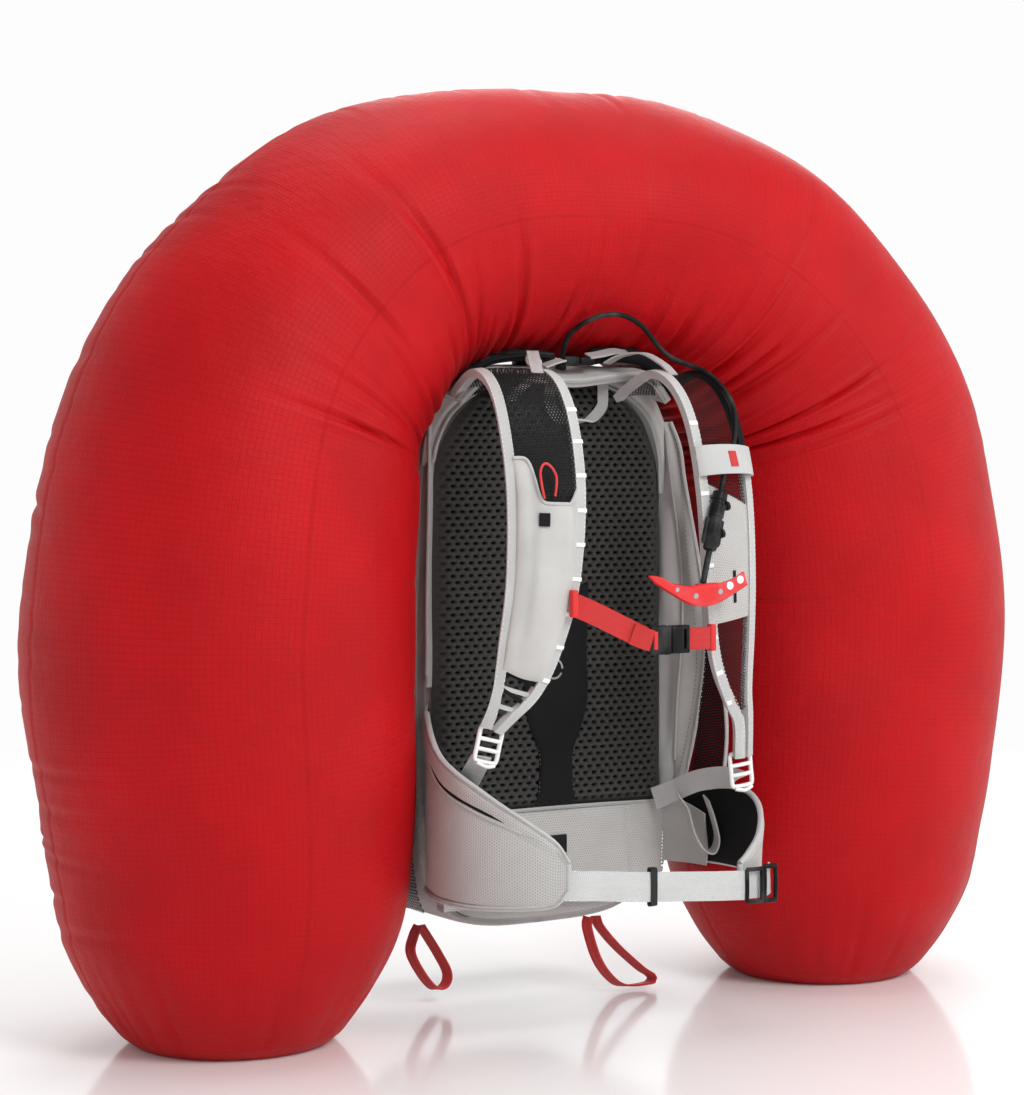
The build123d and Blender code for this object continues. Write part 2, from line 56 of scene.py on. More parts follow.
# ---------------------------------------------------------------- geometry helpers
def spline(points, count):
    """An even run of count points on a smooth curve through the given rows."""
    pts = np.array(points, float)
    ends = np.vstack([2 * pts[0] - pts[1], pts, 2 * pts[-1] - pts[-2]])
    runs = []
    for i in range(1, len(ends) - 2):
        p0, p1, p2, p3 = ends[i - 1:i + 3]
        t = np.linspace(0, 1, 24, endpoint=False)[:, None]
        runs.append(0.5 * (2 * p1 + (p2 - p0) * t + (2 * p0 - 5 * p1 + 4 * p2 - p3) * t ** 2
                           + (3 * p1 - p0 - 3 * p2 + p3) * t ** 3))
    return even(np.vstack(runs + [pts[-1:]]), count)


def even(pts, count):
    """The same line with count points evenly spaced by length in its first three columns."""
    steps = np.linalg.norm(np.diff(pts[:, :3], axis=0), axis=1)
    along = np.concatenate([[0], np.cumsum(steps)])
    at = np.linspace(0, along[-1], count)
    return np.stack([np.interp(at, along, pts[:, k]) for k in range(pts.shape[1])], axis=1)


def unit(v):
    """The same directions at length one."""
    return v / np.maximum(np.linalg.norm(v, axis=-1, keepdims=True), 1e-9)


def make_mesh(name, verts, faces, material, body, uvs=None, sharp=40, face_mats=None, extra=()):
    """A finished piece: its mesh in metres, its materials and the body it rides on."""
    data = bpy.data.meshes.new(name)
    data.from_pydata((np.asarray(verts) * MM).tolist(), [], [list(f) for f in faces])
    for mat in (material,) + tuple(extra):
        data.materials.append(mat)
    if face_mats is not None:
        data.polygons.foreach_set("material_index", np.asarray(face_mats, np.int32))
    if uvs is not None:
        layer = data.uv_layers.new(name="cloth")
        index = np.empty(len(data.loops), np.int32)
        data.loops.foreach_get("vertex_index", index)
        layer.data.foreach_set("uv", (np.asarray(uvs)[index] * MM).ravel())
    data.polygons.foreach_set("use_smooth", np.ones(len(data.polygons), bool))
    data.update()
    data.set_sharp_from_angle(angle=math.radians(sharp))
    piece = bpy.data.objects.new(name, data)
    bpy.context.collection.objects.link(piece)
    if body:
        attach(piece, body)
    return piece


def grid_faces(rows, cols, start=0, flip=False, wrap=False):
    """Quads over a grid of rows by cols vertices."""
    faces = []
    for i in range(rows - 1):
        for j in range(cols if wrap else cols - 1):
            a, b = start + i * cols + j, start + (i + 1) * cols + j
            c, d = start + (i + 1) * cols + (j + 1) % cols, start + i * cols + (j + 1) % cols
            faces.append((a, d, c, b) if flip else (a, b, c, d))
    return faces


def normals_of(mid):
    """Vertex normals of a grid of points."""
    return unit(np.cross(np.gradient(mid, axis=0), np.gradient(mid, axis=1)))


def slab(name, mid, front, back, material, body="pack", inner=None, sharp=40):
    """A closed sheet of cloth or pad: a middle grid with a thickness to its front and its back."""
    rows, cols, _ = mid.shape
    normal = normals_of(mid)
    high = mid + normal * np.broadcast_to(front, (rows, cols))[..., None]
    low = mid - normal * np.broadcast_to(back, (rows, cols))[..., None]
    verts = np.vstack([high.reshape(-1, 3), low.reshape(-1, 3)])
    size = rows * cols
    faces = grid_faces(rows, cols) + grid_faces(rows, cols, size, flip=True)
    rim = [i * cols for i in range(rows)]
    rim += [(rows - 1) * cols + j for j in range(1, cols)]
    rim += [i * cols + cols - 1 for i in range(rows - 2, -1, -1)]
    rim += list(range(cols - 2, 0, -1))
    for a, b in zip(rim, rim[1:] + rim[:1]):
        faces.append((b, a, a + size, b + size))
    along = np.concatenate([np.zeros((1, cols)),
                            np.cumsum(np.linalg.norm(np.diff(mid, axis=0), axis=2), axis=0)])
    across = np.concatenate([np.zeros((rows, 1)),
                             np.cumsum(np.linalg.norm(np.diff(mid, axis=1), axis=2), axis=1)], axis=1)
    uv = np.stack([along.mean(axis=1, keepdims=True) + 0 * across, across], axis=2).reshape(-1, 2)
    count = (rows - 1) * (cols - 1)
    face_mats = [0] * count + [1 if inner else 0] * count + [0] * (len(faces) - 2 * count)
    return make_mesh(name, verts, faces, material, body, np.vstack([uv, uv]), sharp, face_mats,
                     (inner,) if inner else ())


def edge_soft(rows, cols, amount=1.0, reach=0.12, floor=0.25):
    """A pillow profile: full in the middle, thin at all four edges."""
    u, v = np.linspace(0, 1, rows)[:, None], np.linspace(0, 1, cols)[None, :]
    rise_u = np.clip(np.minimum(u, 1 - u) / reach, 0, 1)
    rise_v = np.clip(np.minimum(v, 1 - v) / reach, 0, 1)
    return amount * (floor + (1 - floor) * np.sqrt(np.sin(rise_u * math.pi / 2) * np.sin(rise_v * math.pi / 2)))


def ribbon_grid(path, across, width, cols=5, cup=0.0):
    """The middle grid of a strap along path, its width along the across directions."""
    tangent = unit(np.gradient(path, axis=0))
    side = across - tangent * np.sum(across * tangent, axis=1, keepdims=True)
    side = unit(side)
    v = np.linspace(-0.5, 0.5, cols)[None, :, None]
    width = np.broadcast_to(width, (len(path),))[:, None, None]
    bulge = unit(np.cross(tangent, side))[:, None, :] * (cup * (1 - (2 * v) ** 2))
    return path[:, None, :] + side[:, None, :] * v * width + bulge


def ribbon(name, points, width, thick, material, across, body="pack", count=40,
           cup=0.0):
    """A strap of webbing through points; across is one direction, or one for each point."""
    path = spline(points, count)
    across = np.array(across, float)
    if across.ndim == 1:
        across = np.repeat(across[None], len(points), axis=0)
    sides = spline(np.hstack([np.array(points, float), across]), count)[:, 3:]
    if np.ndim(width):
        width = spline(np.hstack([np.array(points, float), np.array(width, float)[:, None]]), count)[:, 3]
    mid = ribbon_grid(path, sides, width, 7, cup)
    return slab(name, mid, thick / 2, thick / 2, material, body)


def rope(name, points, radius, material, body="pack", count=None, sides=10,
         closed=False):
    """A round edge binding, piping or rod along a smooth line."""
    pts = np.array(points, float)
    if closed:
        pts = np.vstack([pts, pts[:1]])
    count = count or max(12, 6 * len(pts))
    path = spline(pts, count)
    if closed:
        path = path[:-1]
        tangent = unit(np.roll(path, -1, axis=0) - np.roll(path, 1, axis=0))
    else:
        tangent = unit(np.gradient(path, axis=0))
    helper = np.array([0.31, 0.22, 0.93])
    side = unit(np.cross(tangent, helper))
    up = np.cross(side, tangent)
    turn = np.linspace(0, 2 * math.pi, sides, endpoint=False)
    ring = (np.cos(turn)[None, :, None] * side[:, None] + np.sin(turn)[None, :, None] * up[:, None]) * radius
    verts = (path[:, None] + ring).reshape(-1, 3)
    faces = grid_faces(len(path), sides, wrap=True)
    if closed:
        last = (len(path) - 1) * sides
        faces += [(last + j, j, (j + 1) % sides, last + (j + 1) % sides) for j in range(sides)]
    else:
        faces.append(tuple(range(sides)))
        faces.append(tuple(reversed(range(len(verts) - sides, len(verts)))))
    length = np.arange(len(path))[:, None] * (np.linalg.norm(path[1] - path[0]))
    uv = np.stack([length + 0 * turn[None], turn[None] * radius + 0 * length], axis=2).reshape(-1, 2)
    return make_mesh(name, verts, faces, material, body, uv, 60)


def stitches(name, points, material, body="pack", length=2.6, gap=1.6, radius=0.35):
    """A run of thread stitches along a line, each a small six-sided bead."""
    dense = spline(points, max(24, len(points) * 16))
    total = np.sum(np.linalg.norm(np.diff(dense, axis=0), axis=1))
    number = max(2, int(total / (length + gap)))
    path = even(dense, number * 2 + 1)
    verts, faces = [], []
    turn = np.linspace(0, 2 * math.pi, 6, endpoint=False)
    for k in range(number):
        a, b = path[2 * k], path[2 * k + 1]
        axis = unit(b - a)
        side = unit(np.cross(axis, [0.2, 0.3, 0.9]))
        up = np.cross(side, axis)
        start = len(verts)
        for spot, size in ((a, 0.4), (a * 0.7 + b * 0.3, 1), (a * 0.3 + b * 0.7, 1), (b, 0.4)):
            for angle in turn:
                verts.append(spot + (side * math.cos(angle) + up * math.sin(angle)) * radius * size)
        faces += grid_faces(4, 6, start, wrap=True)
        faces.append(tuple(range(start, start + 6)))
        faces.append(tuple(reversed(range(start + 18, start + 24))))
    return make_mesh(name, np.array(verts), faces, material, body, None, 60)


def block_mesh(name, low, high, material, body, bevel=1.2, segments=3):
    """A rounded moulded block between two corners."""
    low, high = np.array(low, float), np.array(high, float)
    data = bpy.data.meshes.new(name)
    build = bmesh.new()
    bmesh.ops.create_cube(build, size=1.0)
    for vert in build.verts:
        vert.co = [(low[k] + high[k]) / 2 * MM + vert.co[k] * (high[k] - low[k]) * MM for k in range(3)]
    bmesh.ops.bevel(build, geom=build.edges[:], offset=bevel * MM, segments=segments, profile=0.5,
                    affect="EDGES")
    build.to_mesh(data)
    build.free()
    data.materials.append(material)
    data.polygons.foreach_set("use_smooth", np.ones(len(data.polygons), bool))
    piece = bpy.data.objects.new(name, data)
    bpy.context.collection.objects.link(piece)
    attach(piece, body)
    return piece


def join(name, pieces, body):
    """Several small meshes as one piece."""
    for piece in pieces:
        piece.parent = None
    bpy.ops.object.select_all(action="DESELECT")
    for piece in pieces:
        piece.select_set(True)
    bpy.context.view_layer.objects.active = pieces[0]
    bpy.ops.object.join()
    pieces[0].name = name
    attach(pieces[0], body)
    return pieces[0]


# ---------------------------------------------------------------- materials
class Nodes:
    """Small helper that wires shader nodes by name."""

    def __init__(self, name, roughness=0.6, metallic=0.0, sheen=0.0):
        self.material = bpy.data.materials.new(name)
        self.material.use_nodes = True
        self.tree = self.material.node_tree
        self.shader = self.tree.nodes["Principled BSDF"]
        self.shader.inputs["Roughness"].default_value = roughness
        self.shader.inputs["Metallic"].default_value = metallic
        if sheen:
            self.shader.inputs["Sheen Weight"].default_value = sheen
            self.shader.inputs["Sheen Roughness"].default_value = 0.4

    def add(self, kind, **inputs):
        node = self.tree.nodes.new(kind)
        for key, value in inputs.items():
            if key in ("operation", "blend_type", "data_type", "feature", "distance", "wave_type",
                       "bands_direction", "noise_dimensions", "voronoi_dimensions", "interpolation_type"):
                setattr(node, key, value)
        for key, value in inputs.items():
            key = key.replace("_", " ")
            if key in node.inputs:
                self.put(node.inputs[key], value)
        return node

    def put(self, socket, value):
        if isinstance(value, bpy.types.NodeSocket):
            self.tree.links.new(value, socket)
        else:
            socket.default_value = value

    def math(self, operation, a, b=0.0, clamp=False):
        node = self.tree.nodes.new("ShaderNodeMath")
        node.operation = operation
        node.use_clamp = clamp
        self.put(node.inputs[0], a)
        self.put(node.inputs[1], b)
        return node.outputs[0]

    def cloth_uv(self, scale):
        uv = self.tree.nodes.new("ShaderNodeUVMap")
        uv.uv_map = "cloth"
        split = self.tree.nodes.new("ShaderNodeSeparateXYZ")
        self.tree.links.new(uv.outputs[0], split.inputs[0])
        return (self.math("MULTIPLY", split.outputs[0], scale), self.math("MULTIPLY", split.outputs[1],
                                                                          scale))

    def object_coords(self):
        return self.tree.nodes.new("ShaderNodeTexCoord").outputs["Object"]

    def noise(self, scale, detail=3.0, rough=0.55, vector=None):
        node = self.tree.nodes.new("ShaderNodeTexNoise")
        node.inputs["Scale"].default_value = scale
        node.inputs["Detail"].default_value = detail
        node.inputs["Roughness"].default_value = rough
        self.tree.links.new(vector or self.object_coords(), node.inputs["Vector"])
        return node.outputs[0]

    def ramp(self, value, low, high):
        node = self.tree.nodes.new("ShaderNodeMapRange")
        self.put(node.inputs["Value"], value)
        node.inputs["From Min"].default_value = low
        node.inputs["From Max"].default_value = high
        return node.outputs[0]

    def mix(self, factor, first, second):
        node = self.tree.nodes.new("ShaderNodeMix")
        node.data_type = "RGBA"
        self.put(node.inputs[0], factor)
        self.put(node.inputs[6], first)
        self.put(node.inputs[7], second)
        return node.outputs[2]

    def bump(self, height, distance, strength=1.0, base=None):
        node = self.tree.nodes.new("ShaderNodeBump")
        node.inputs["Distance"].default_value = distance
        node.inputs["Strength"].default_value = strength
        self.put(node.inputs["Height"], height)
        if base is not None:
            self.put(node.inputs["Normal"], base)
        return node.outputs[0]

    def finish(self, color=None, normal=None, roughness=None, alpha=None):
        for key, value in (("Base Color", color), ("Normal", normal), ("Roughness", roughness), ("Alpha",
                                                                                                 alpha)):
            if value is not None:
                self.put(self.shader.inputs[key], value)
        return self.material


def rgba(color, factor=1.0):
    """A linear colour times a brightness, with alpha."""
    return tuple(min(1.0, c * factor) for c in color) + (1.0,)


def tone(n, color, spread=0.12, scale=30.0):
    """The base colour with slow, slight variation."""
    cloud = n.ramp(n.noise(scale), 0.3, 0.7)
    return n.mix(cloud, rgba(color, 1 - spread), rgba(color, 1 + spread * 0.4))


def ripstop(name, color):
    """Coated airbag nylon: a fine grid of thicker threads, soft gloss and small crinkles."""
    n = Nodes(name, 0.5)
    n.shader.inputs["Specular IOR Level"].default_value = 0.16
    u, v = n.cloth_uv(1000 / 5.0)
    def line(value):
        wave = n.math("ABSOLUTE", n.math("SUBTRACT", n.math("FRACT", value), 0.5))
        return n.ramp(wave, 0.40, 0.47)
    grid = n.math("MAXIMUM", line(u), line(v))
    cloud = n.ramp(n.noise(9.0, 4.0), 0.35, 0.7)
    base = n.mix(cloud, rgba(color, 0.86), rgba(color, 1.06))
    color_out = n.mix(n.math("MULTIPLY", grid, 0.40), base, rgba(color, 0.55))
    crinkle = n.noise(48.0, 7.0, 0.66)
    first = n.bump(crinkle, 0.0026, 0.5)
    fine_u, fine_v = n.cloth_uv(1000 / 0.9)
    weave = n.math("MULTIPLY", n.math("SINE", n.math("MULTIPLY", fine_u, 6.283)),
                   n.math("SINE", n.math("MULTIPLY", fine_v, 6.283)))
    second = n.bump(n.math("ADD", grid, n.math("MULTIPLY", weave, 0.15)), 0.0002, 0.6, first)
    rough = n.math("ADD", 0.44, n.math("MULTIPLY", n.noise(25.0), 0.16))
    return n.finish(color_out, second, rough)


def woven(name, color, pitch=0.7, spread=0.10, roughness=0.78, sheen=0.25, depth=0.00012):
    """Plain woven cloth with warp and weft relief."""
    n = Nodes(name, roughness, sheen=sheen if max(color) > 0.05 else 0.0)
    if max(color) < 0.05:
        n.shader.inputs["Specular IOR Level"].default_value = 0.1
    u, v = n.cloth_uv(1000 / pitch)
    warp = n.math("SINE", n.math("MULTIPLY", u, 6.283))
    weft = n.math("SINE", n.math("MULTIPLY", v, 6.283))
    weave = n.math("MULTIPLY", warp, weft)
    base = tone(n, color, spread)
    shade = n.mix(n.ramp(weave, -1.0, 0.2), rgba(color, 0.72), base)
    soft = n.bump(n.noise(38.0, 5.0), 0.0012, 0.25)
    return n.finish(shade, n.bump(weave, depth, 0.8, soft))


def ribbed(name, color, pitch=1.6, roughness=0.7, spread=0.08):
    """Webbing: a herringbone of slanting ribs with a plain selvedge feel."""
    n = Nodes(name, roughness, sheen=0.2 if max(color) > 0.05 else 0.0)
    u, v = n.cloth_uv(1000 / pitch)
    zig = n.math("PINGPONG", v, 2.0)
    rib = n.math("SINE", n.math("MULTIPLY", n.math("ADD", u, zig), 6.283))
    base = tone(n, color, spread)
    shade = n.mix(n.ramp(rib, -1.0, 0.0), rgba(color, 0.70), base)
    soft = n.bump(n.noise(55.0, 4.0), 0.0006, 0.3)
    return n.finish(shade, n.bump(rib, 0.00025, 0.8, soft))


def hexagons(n, pitch):
    """Distance to the edge of hexagonal cells of the given pitch in millimetres, 0 at the edge."""
    uv = n.tree.nodes.new("ShaderNodeUVMap")
    uv.uv_map = "cloth"
    split = n.tree.nodes.new("ShaderNodeSeparateXYZ")
    n.tree.links.new(uv.outputs[0], split.inputs[0])
    def hexdist(shift_u, shift_v):
        a = n.math("ADD", n.math("MULTIPLY", split.outputs[0], 1000 / (pitch * 1.732)), shift_u)
        b = n.math("ADD", n.math("MULTIPLY", split.outputs[1], 1000 / pitch), shift_v)
        ca = n.math("MULTIPLY", n.math("SUBTRACT", n.math("FRACT", a), 0.5), 1.732)
        cb = n.math("SUBTRACT", n.math("FRACT", b), 0.5)
        return n.math("SQRT", n.math("ADD", n.math("MULTIPLY", ca, ca), n.math("MULTIPLY", cb, cb)))
    return n.math("MINIMUM", hexdist(0.0, 0.0), hexdist(0.5, 0.5))


def open_mesh(name, color, pitch=3.6, hole=0.36, roughness=0.7):
    """Knitted mesh: cloth with real see-through holes."""
    n = Nodes(name, roughness)
    n.shader.inputs["Specular IOR Level"].default_value = 0.12
    near = hexagons(n, pitch)
    solid = n.ramp(near, hole - 0.03, hole + 0.03)
    base = tone(n, color, 0.2, 80.0)
    return n.finish(base, n.bump(near, 0.0006, 0.8), None, solid)


def hex_cloth(name, color, pitch=2.6, dark=0.72):
    """Light pack cloth with a fine embossed honeycomb."""
    n = Nodes(name, 0.75, sheen=0.25)
    near = hexagons(n, pitch)
    cell = n.ramp(near, 0.18, 0.46)
    base = tone(n, color, 0.07)
    shade = n.mix(cell, rgba(color, dark), base)
    soft = n.bump(n.noise(30.0, 5.0), 0.0014, 0.25)
    return n.finish(shade, n.bump(cell, 0.0003, 0.9, soft))


def moulded(name, color, roughness=0.42, grain=900.0, depth=0.00006, wear=0.15):
    """Moulded plastic with a fine spark-eroded grain and paler rubbed places."""
    n = Nodes(name, roughness)
    if max(color) < 0.1:
        n.shader.inputs["Specular IOR Level"].default_value = 0.14
    fine = n.noise(grain, 2.0)
    patch = n.ramp(n.noise(45.0, 4.0), 0.45, 0.75)
    light = tuple(c + (1 - c) * wear * 0.25 for c in color)
    base = n.mix(patch, rgba(color), rgba(light))
    rough = n.math("ADD", roughness - 0.06, n.math("MULTIPLY", n.noise(70.0), 0.14))
    return n.finish(base, n.bump(fine, depth, 0.6), rough)


def metal(name, color, roughness=0.32, stretch=(1, 1, 40)):
    """Metal with fine drawn lines."""
    n = Nodes(name, roughness, metallic=1.0)
    mapping = n.tree.nodes.new("ShaderNodeMapping")
    mapping.inputs["Scale"].default_value = stretch
    n.tree.links.new(n.object_coords(), mapping.inputs["Vector"])
    lines = n.noise(30.0, 3.0, 0.6, mapping.outputs[0])
    base = n.mix(lines, rgba(color, 0.85), rgba(color, 1.08))
    rough = n.math("ADD", roughness - 0.08, n.math("MULTIPLY", lines, 0.18))
    return n.finish(base, n.bump(lines, 0.00004, 0.5), rough)


RED = (0.42, 0.0006, 0.0035)
RED_WEB = (0.60, 0.014, 0.014)
GREY = (0.47, 0.46, 0.445)
WHITE = (0.60, 0.605, 0.595)
BLACK = (0.006, 0.006, 0.0065)

def pressed_mesh(name, color, dark):
    """Spacer mesh: a knit whose pressed hollows are painted near black as shade, from the mesh's own hollow
    values.
    """
    n = Nodes(name, 0.85)
    n.shader.inputs["Specular IOR Level"].default_value = 0.2
    hollow = n.tree.nodes.new("ShaderNodeAttribute")
    hollow.attribute_name = "hollow"
    # painted shade: the hollow values blend the knit colour towards the dark colour in the pressed hollows
    depth = n.ramp(hollow.outputs["Fac"], 0.15, 0.75)
    near = hexagons(n, 1.5)
    knit = n.ramp(near, 0.15, 0.5)
    base = n.mix(knit, rgba(color, 0.45), rgba(color, 1.25))
    return n.finish(n.mix(depth, base, rgba(dark)), n.bump(knit, 0.0003, 0.8))


M = {
    "airbag": ripstop("airbag_ripstop", RED),
    "pack": woven("pack_cloth", GREY, 0.9),
    "pack_side": hex_cloth("pack_honeycomb", GREY),
    "lining": woven("pack_lining", (0.42, 0.40, 0.39), 0.9),
    "white_cloth": woven("white_stretch_cloth", (0.53, 0.52, 0.50), 1.1),
    "binding": ribbed("white_binding", WHITE, 1.3),
    "webbing": ribbed("white_belt_webbing", (0.62, 0.63, 0.62), 2.0),
    "grey_webbing": ribbed("grey_webbing", (0.50, 0.49, 0.48), 1.7),
    "red_webbing": ribbed("red_webbing", RED_WEB, 1.5),
    "elastic": moulded("elastic_cord", RED_WEB, 0.6, 500.0, 0.0001),
    "black_webbing": ribbed("black_webbing", (0.02, 0.02, 0.021), 1.5),
    # the second colour is the painted shade for the pressed hollows of the spacer mesh
    "spacer": pressed_mesh("black_spacer_mesh", (0.066, 0.065, 0.062), (0.0025, 0.0025, 0.0025)),
    "black_cloth": woven("black_cloth", (0.014, 0.014, 0.015), 0.8, 0.2, 0.8, 0.15),
    "strap_mesh": open_mesh("strap_open_mesh", (0.012, 0.012, 0.012), 3.4, 0.43),
    "strap_knit": open_mesh("strap_close_mesh", (0.014, 0.014, 0.014), 3.0, 0.30),
    "black_plastic": moulded("black_acetal", BLACK, 0.38),
    "white_plastic": moulded("white_acetal", (0.74, 0.74, 0.73), 0.4, wear=0.0),
    "red_plastic": moulded("red_handle_plastic", (0.60, 0.012, 0.014), 0.28, 500.0, 0.00003),
    "frame_plastic": moulded("frame_sheet_plastic", (0.10, 0.105, 0.11), 0.5),
    "fan_plastic": moulded("fan_plastic", (0.035, 0.037, 0.04), 0.45),
    "silicone": moulded("silicone", (0.30, 0.31, 0.32), 0.5, 300.0),
    "cable": moulded("cable_sheath", (0.006, 0.0065, 0.006), 0.5, 600.0, 0.0001),
    "aluminium": metal("stay_aluminium", (0.72, 0.73, 0.75)),
    "steel": metal("steel", (0.5, 0.51, 0.52), 0.28),
    "lens": moulded("status_lens", (0.45, 0.7, 0.45), 0.15, 200.0, 0.00001),
    "thread": moulded("thread", (0.78, 0.78, 0.77), 0.7, 700.0),
    "dark_thread": moulded("dark_thread", (0.16, 0.155, 0.15), 0.7, 700.0),
}


# ---------------------------------------------------------------- airbag
AIRBAG_Y = 20.0
AIRBAG_SHIFT = 8.0         # how far the airbag has settled towards the wearer's left
FOOT_X, FOOT_FLAT, FOOT_R, FOOT_RISE, FOOT_FULLNESS = 320.0, 86.0, 160.0, 155.0, 0.75
# (x, z, radius) of the tube above the foot, wearer's left half, as in the CAD
TUBE = [(325, 230, 168), (333, 360, 174), (319, 492, 167), (294, 577, 155), (248, 643, 145), (184, 698, 136),
        (100, 729, 128)]
CROWN = (0, 736, 124)


def airbag_stations():
    """The tube from the left foot over the crown to the right foot."""
    foot = [(FOOT_X, FOOT_RISE * share,
             FOOT_FLAT + (FOOT_R - FOOT_FLAT) * math.sin(math.pi / 2 * share) ** FOOT_FULLNESS)
            for share in (0, 0.04, 0.1, 0.3, 0.6, 1)]
    left = foot + TUBE
    right = [(-x, z, radius) for x, z, radius in reversed(left)]
    return [(x + AIRBAG_SHIFT, AIRBAG_Y, z, radius) for x, z, radius in left + [CROWN] + right]


def airbag_creases(count, seam, spread, low, high, depth, reach, seed):
    """Short creases across a seam: place along the tube, angle, depth, width and reach of each."""
    rng = np.random.default_rng(seed)
    at = np.linspace(low, high, count) + rng.uniform(-0.4, 0.4, count) * (high - low) / count
    return [(s, seam + rng.normal(0, spread), depth * rng.uniform(0.35, 1.3), rng.uniform(2.6, 6.0),
             reach * rng.uniform(0.6, 1.4), rng.normal(0, 9)) for s in at]


def airbag():
    """The whole inflated tube as one creased skin with its two feet closed."""
    rings, sides = 760, 260
    line = spline(airbag_stations(), rings)
    centre, radius = line[:, :3], line[:, 3]
    tangent = unit(np.gradient(centre, axis=0))
    tangent[:3] = (0, 0, 1)
    tangent[-3:] = (0, 0, -1)
    outward = np.stack([tangent[:, 2], 0 * radius, -tangent[:, 0]], axis=1)
    toward = np.array([0.0, -1.0, 0.0])
    angle = np.linspace(0, 2 * math.pi, sides, endpoint=False)
    s = np.concatenate([[0], np.cumsum(np.linalg.norm(np.diff(centre, axis=0), axis=1))])
    total = s[-1]
    grid_s, grid_a = s[:, None] + 0 * angle[None], angle[None] + 0 * s[:, None]

    outer, inner = math.pi / 2, 3 * math.pi / 2
    creases = airbag_creases(34, outer, 0.10, 60, total - 60, 1.4, 0.36, 3)
    creases += airbag_creases(34, outer + 0.35, 0.25, 100, total - 100, 1.7, 0.26, 4)
    creases += airbag_creases(34, inner, 0.25, 520, total - 520, 4.2, 0.6, 5)
    creases += airbag_creases(30, inner + 0.8, 0.35, 560, total - 560, 3.2, 0.5, 6)
    creases += airbag_creases(26, inner - 0.6, 0.35, 560, total - 560, 2.4, 0.5, 8)
    creases += airbag_creases(12, inner, 0.3, 120, 520, 1.6, 0.35, 9)
    creases += airbag_creases(12, inner, 0.3, total - 520, total - 120, 1.6, 0.35, 10)
    push = np.zeros_like(grid_s)
    for at, seam, depth, width, reach, skew in creases:
        turn = (grid_a - seam + math.pi) % (2 * math.pi) - math.pi
        off = grid_s - at - skew * turn
        fade = np.exp(-(turn / reach) ** 2)
        push += fade * (-depth * np.exp(-(off / width) ** 2)
                        + 0.45 * depth * np.exp(-((np.abs(off) - 1.9 * width) / (1.3 * width)) ** 2))
    # gathers round each foot, and slow unevenness everywhere
    rng = np.random.default_rng(12)
    for end in (0.0, total):
        for at in rng.uniform(0, 2 * math.pi, 22):
            turn = (grid_a - at + math.pi) % (2 * math.pi) - math.pi
            fade = np.exp(-((grid_s - end) / 75) ** 2)
            push -= 1.8 * fade * np.exp(-(turn / 0.045) ** 2)
    for _ in range(9):
        ks, ka = rng.uniform(0.004, 0.022), rng.integers(1, 6)
        push += 0.4 * np.sin(ks * grid_s * 2 + ka * grid_a + rng.uniform(0, 6.28))
    # the panel seams: a slight pinch along the outer and inner edges
    for seam in (outer, inner):
        turn = (grid_a - seam + math.pi) % (2 * math.pi) - math.pi
        push -= 1.1 * np.exp(-(turn / 0.012) ** 2)

    lift = np.clip(grid_s, 0, 30) / 30 * np.clip(total - grid_s, 0, 30) / 30
    size = radius[:, None] + push * lift
    body = (centre[:, None] + size[..., None] * (np.cos(grid_a)[..., None] * toward
                                                 + np.sin(grid_a)[..., None] * outward[:, None]))
    verts = [body.reshape(-1, 3)]
    faces = grid_faces(rings, sides, wrap=True, flip=True)
    uv = np.stack([grid_s, grid_a * 150], axis=2).reshape(-1, 2)
    uvs = [uv]
    # close each foot with shrinking rings
    for ring_index, flip in ((0, False), (rings - 1, True)):
        edge = ring_index * sides
        for share in (0.75, 0.45, 0.15):
            start = sum(len(v) for v in verts)
            ring = centre[ring_index] + (body[ring_index] - centre[ring_index]) * share
            verts.append(ring)
            uvs.append(np.stack([radius[0] * share + 0 * angle, angle * 150], axis=1))
            for j in range(sides):
                a, b = edge + j, edge + (j + 1) % sides
                c, d = start + (j + 1) % sides, start + j
                faces.append((a, d, c, b) if flip else (a, b, c, d))
            edge = start
        ring = tuple(range(edge, edge + sides))
        faces.append(tuple(reversed(ring)) if flip else ring)
    piece = make_mesh("airbag", np.vstack(verts), faces, M["airbag"], "pack",
                      np.vstack(uvs), 60)
    nodes = [f"airbag_{part}_{side}" for part in ("lobe", "shoulder", "haunch") for side in ("left", "right")]
    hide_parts("airbag_crown", *nodes)


# ---------------------------------------------------------------- pack shell
# The pack's front outline, wearer's left half, from the bottom middle upwards: (x, z)
PACK_HALF = [(0, 74), (50, 75), (86, 82), (110, 98), (125, 122), (133, 156), (137, 280), (136, 420), (133,
                                                                                                      500),
             (124, 545), (104, 575), (82, 600), (40, 601), (0, 601)]


def pack_ring(count=160):
    """The pack's front outline as a smooth closed ring of (x, z), from the bottom middle."""
    half = PACK_HALF
    ring = half + [(-x, z) for x, z in reversed(half[1:-1])]
    pts = [(x, 0, z) for x, z in ring] + [(ring[0][0], 0, ring[0][1])]
    return spline(pts, count + 1)[:-1][:, [0, 2]]


def ring_inset(ring, amount):
    """The outline moved inwards by amount."""
    ahead = np.roll(ring, -1, axis=0) - np.roll(ring, 1, axis=0)
    ahead = unit(ahead)
    normal = np.stack([-ahead[:, 1], ahead[:, 0]], axis=1)
    return ring + normal * amount


def shell_rows(ring, stations):
    """Rings of 3-D points: each station is (y, inset)."""
    return np.array([[(x, y, z) for x, z in ring_inset(ring, inset)] for y, inset in stations])


def crumple(rows, amount, seed, scale=0.02):
    """Slight, smooth unevenness for hanging cloth."""
    rng = np.random.default_rng(seed)
    push = np.zeros(rows.shape[:2])
    for _ in range(14):
        way = rng.normal(0, 1, 3) * scale
        push += np.sin(rows @ way + rng.uniform(0, 6.28))
    return push * amount / 4


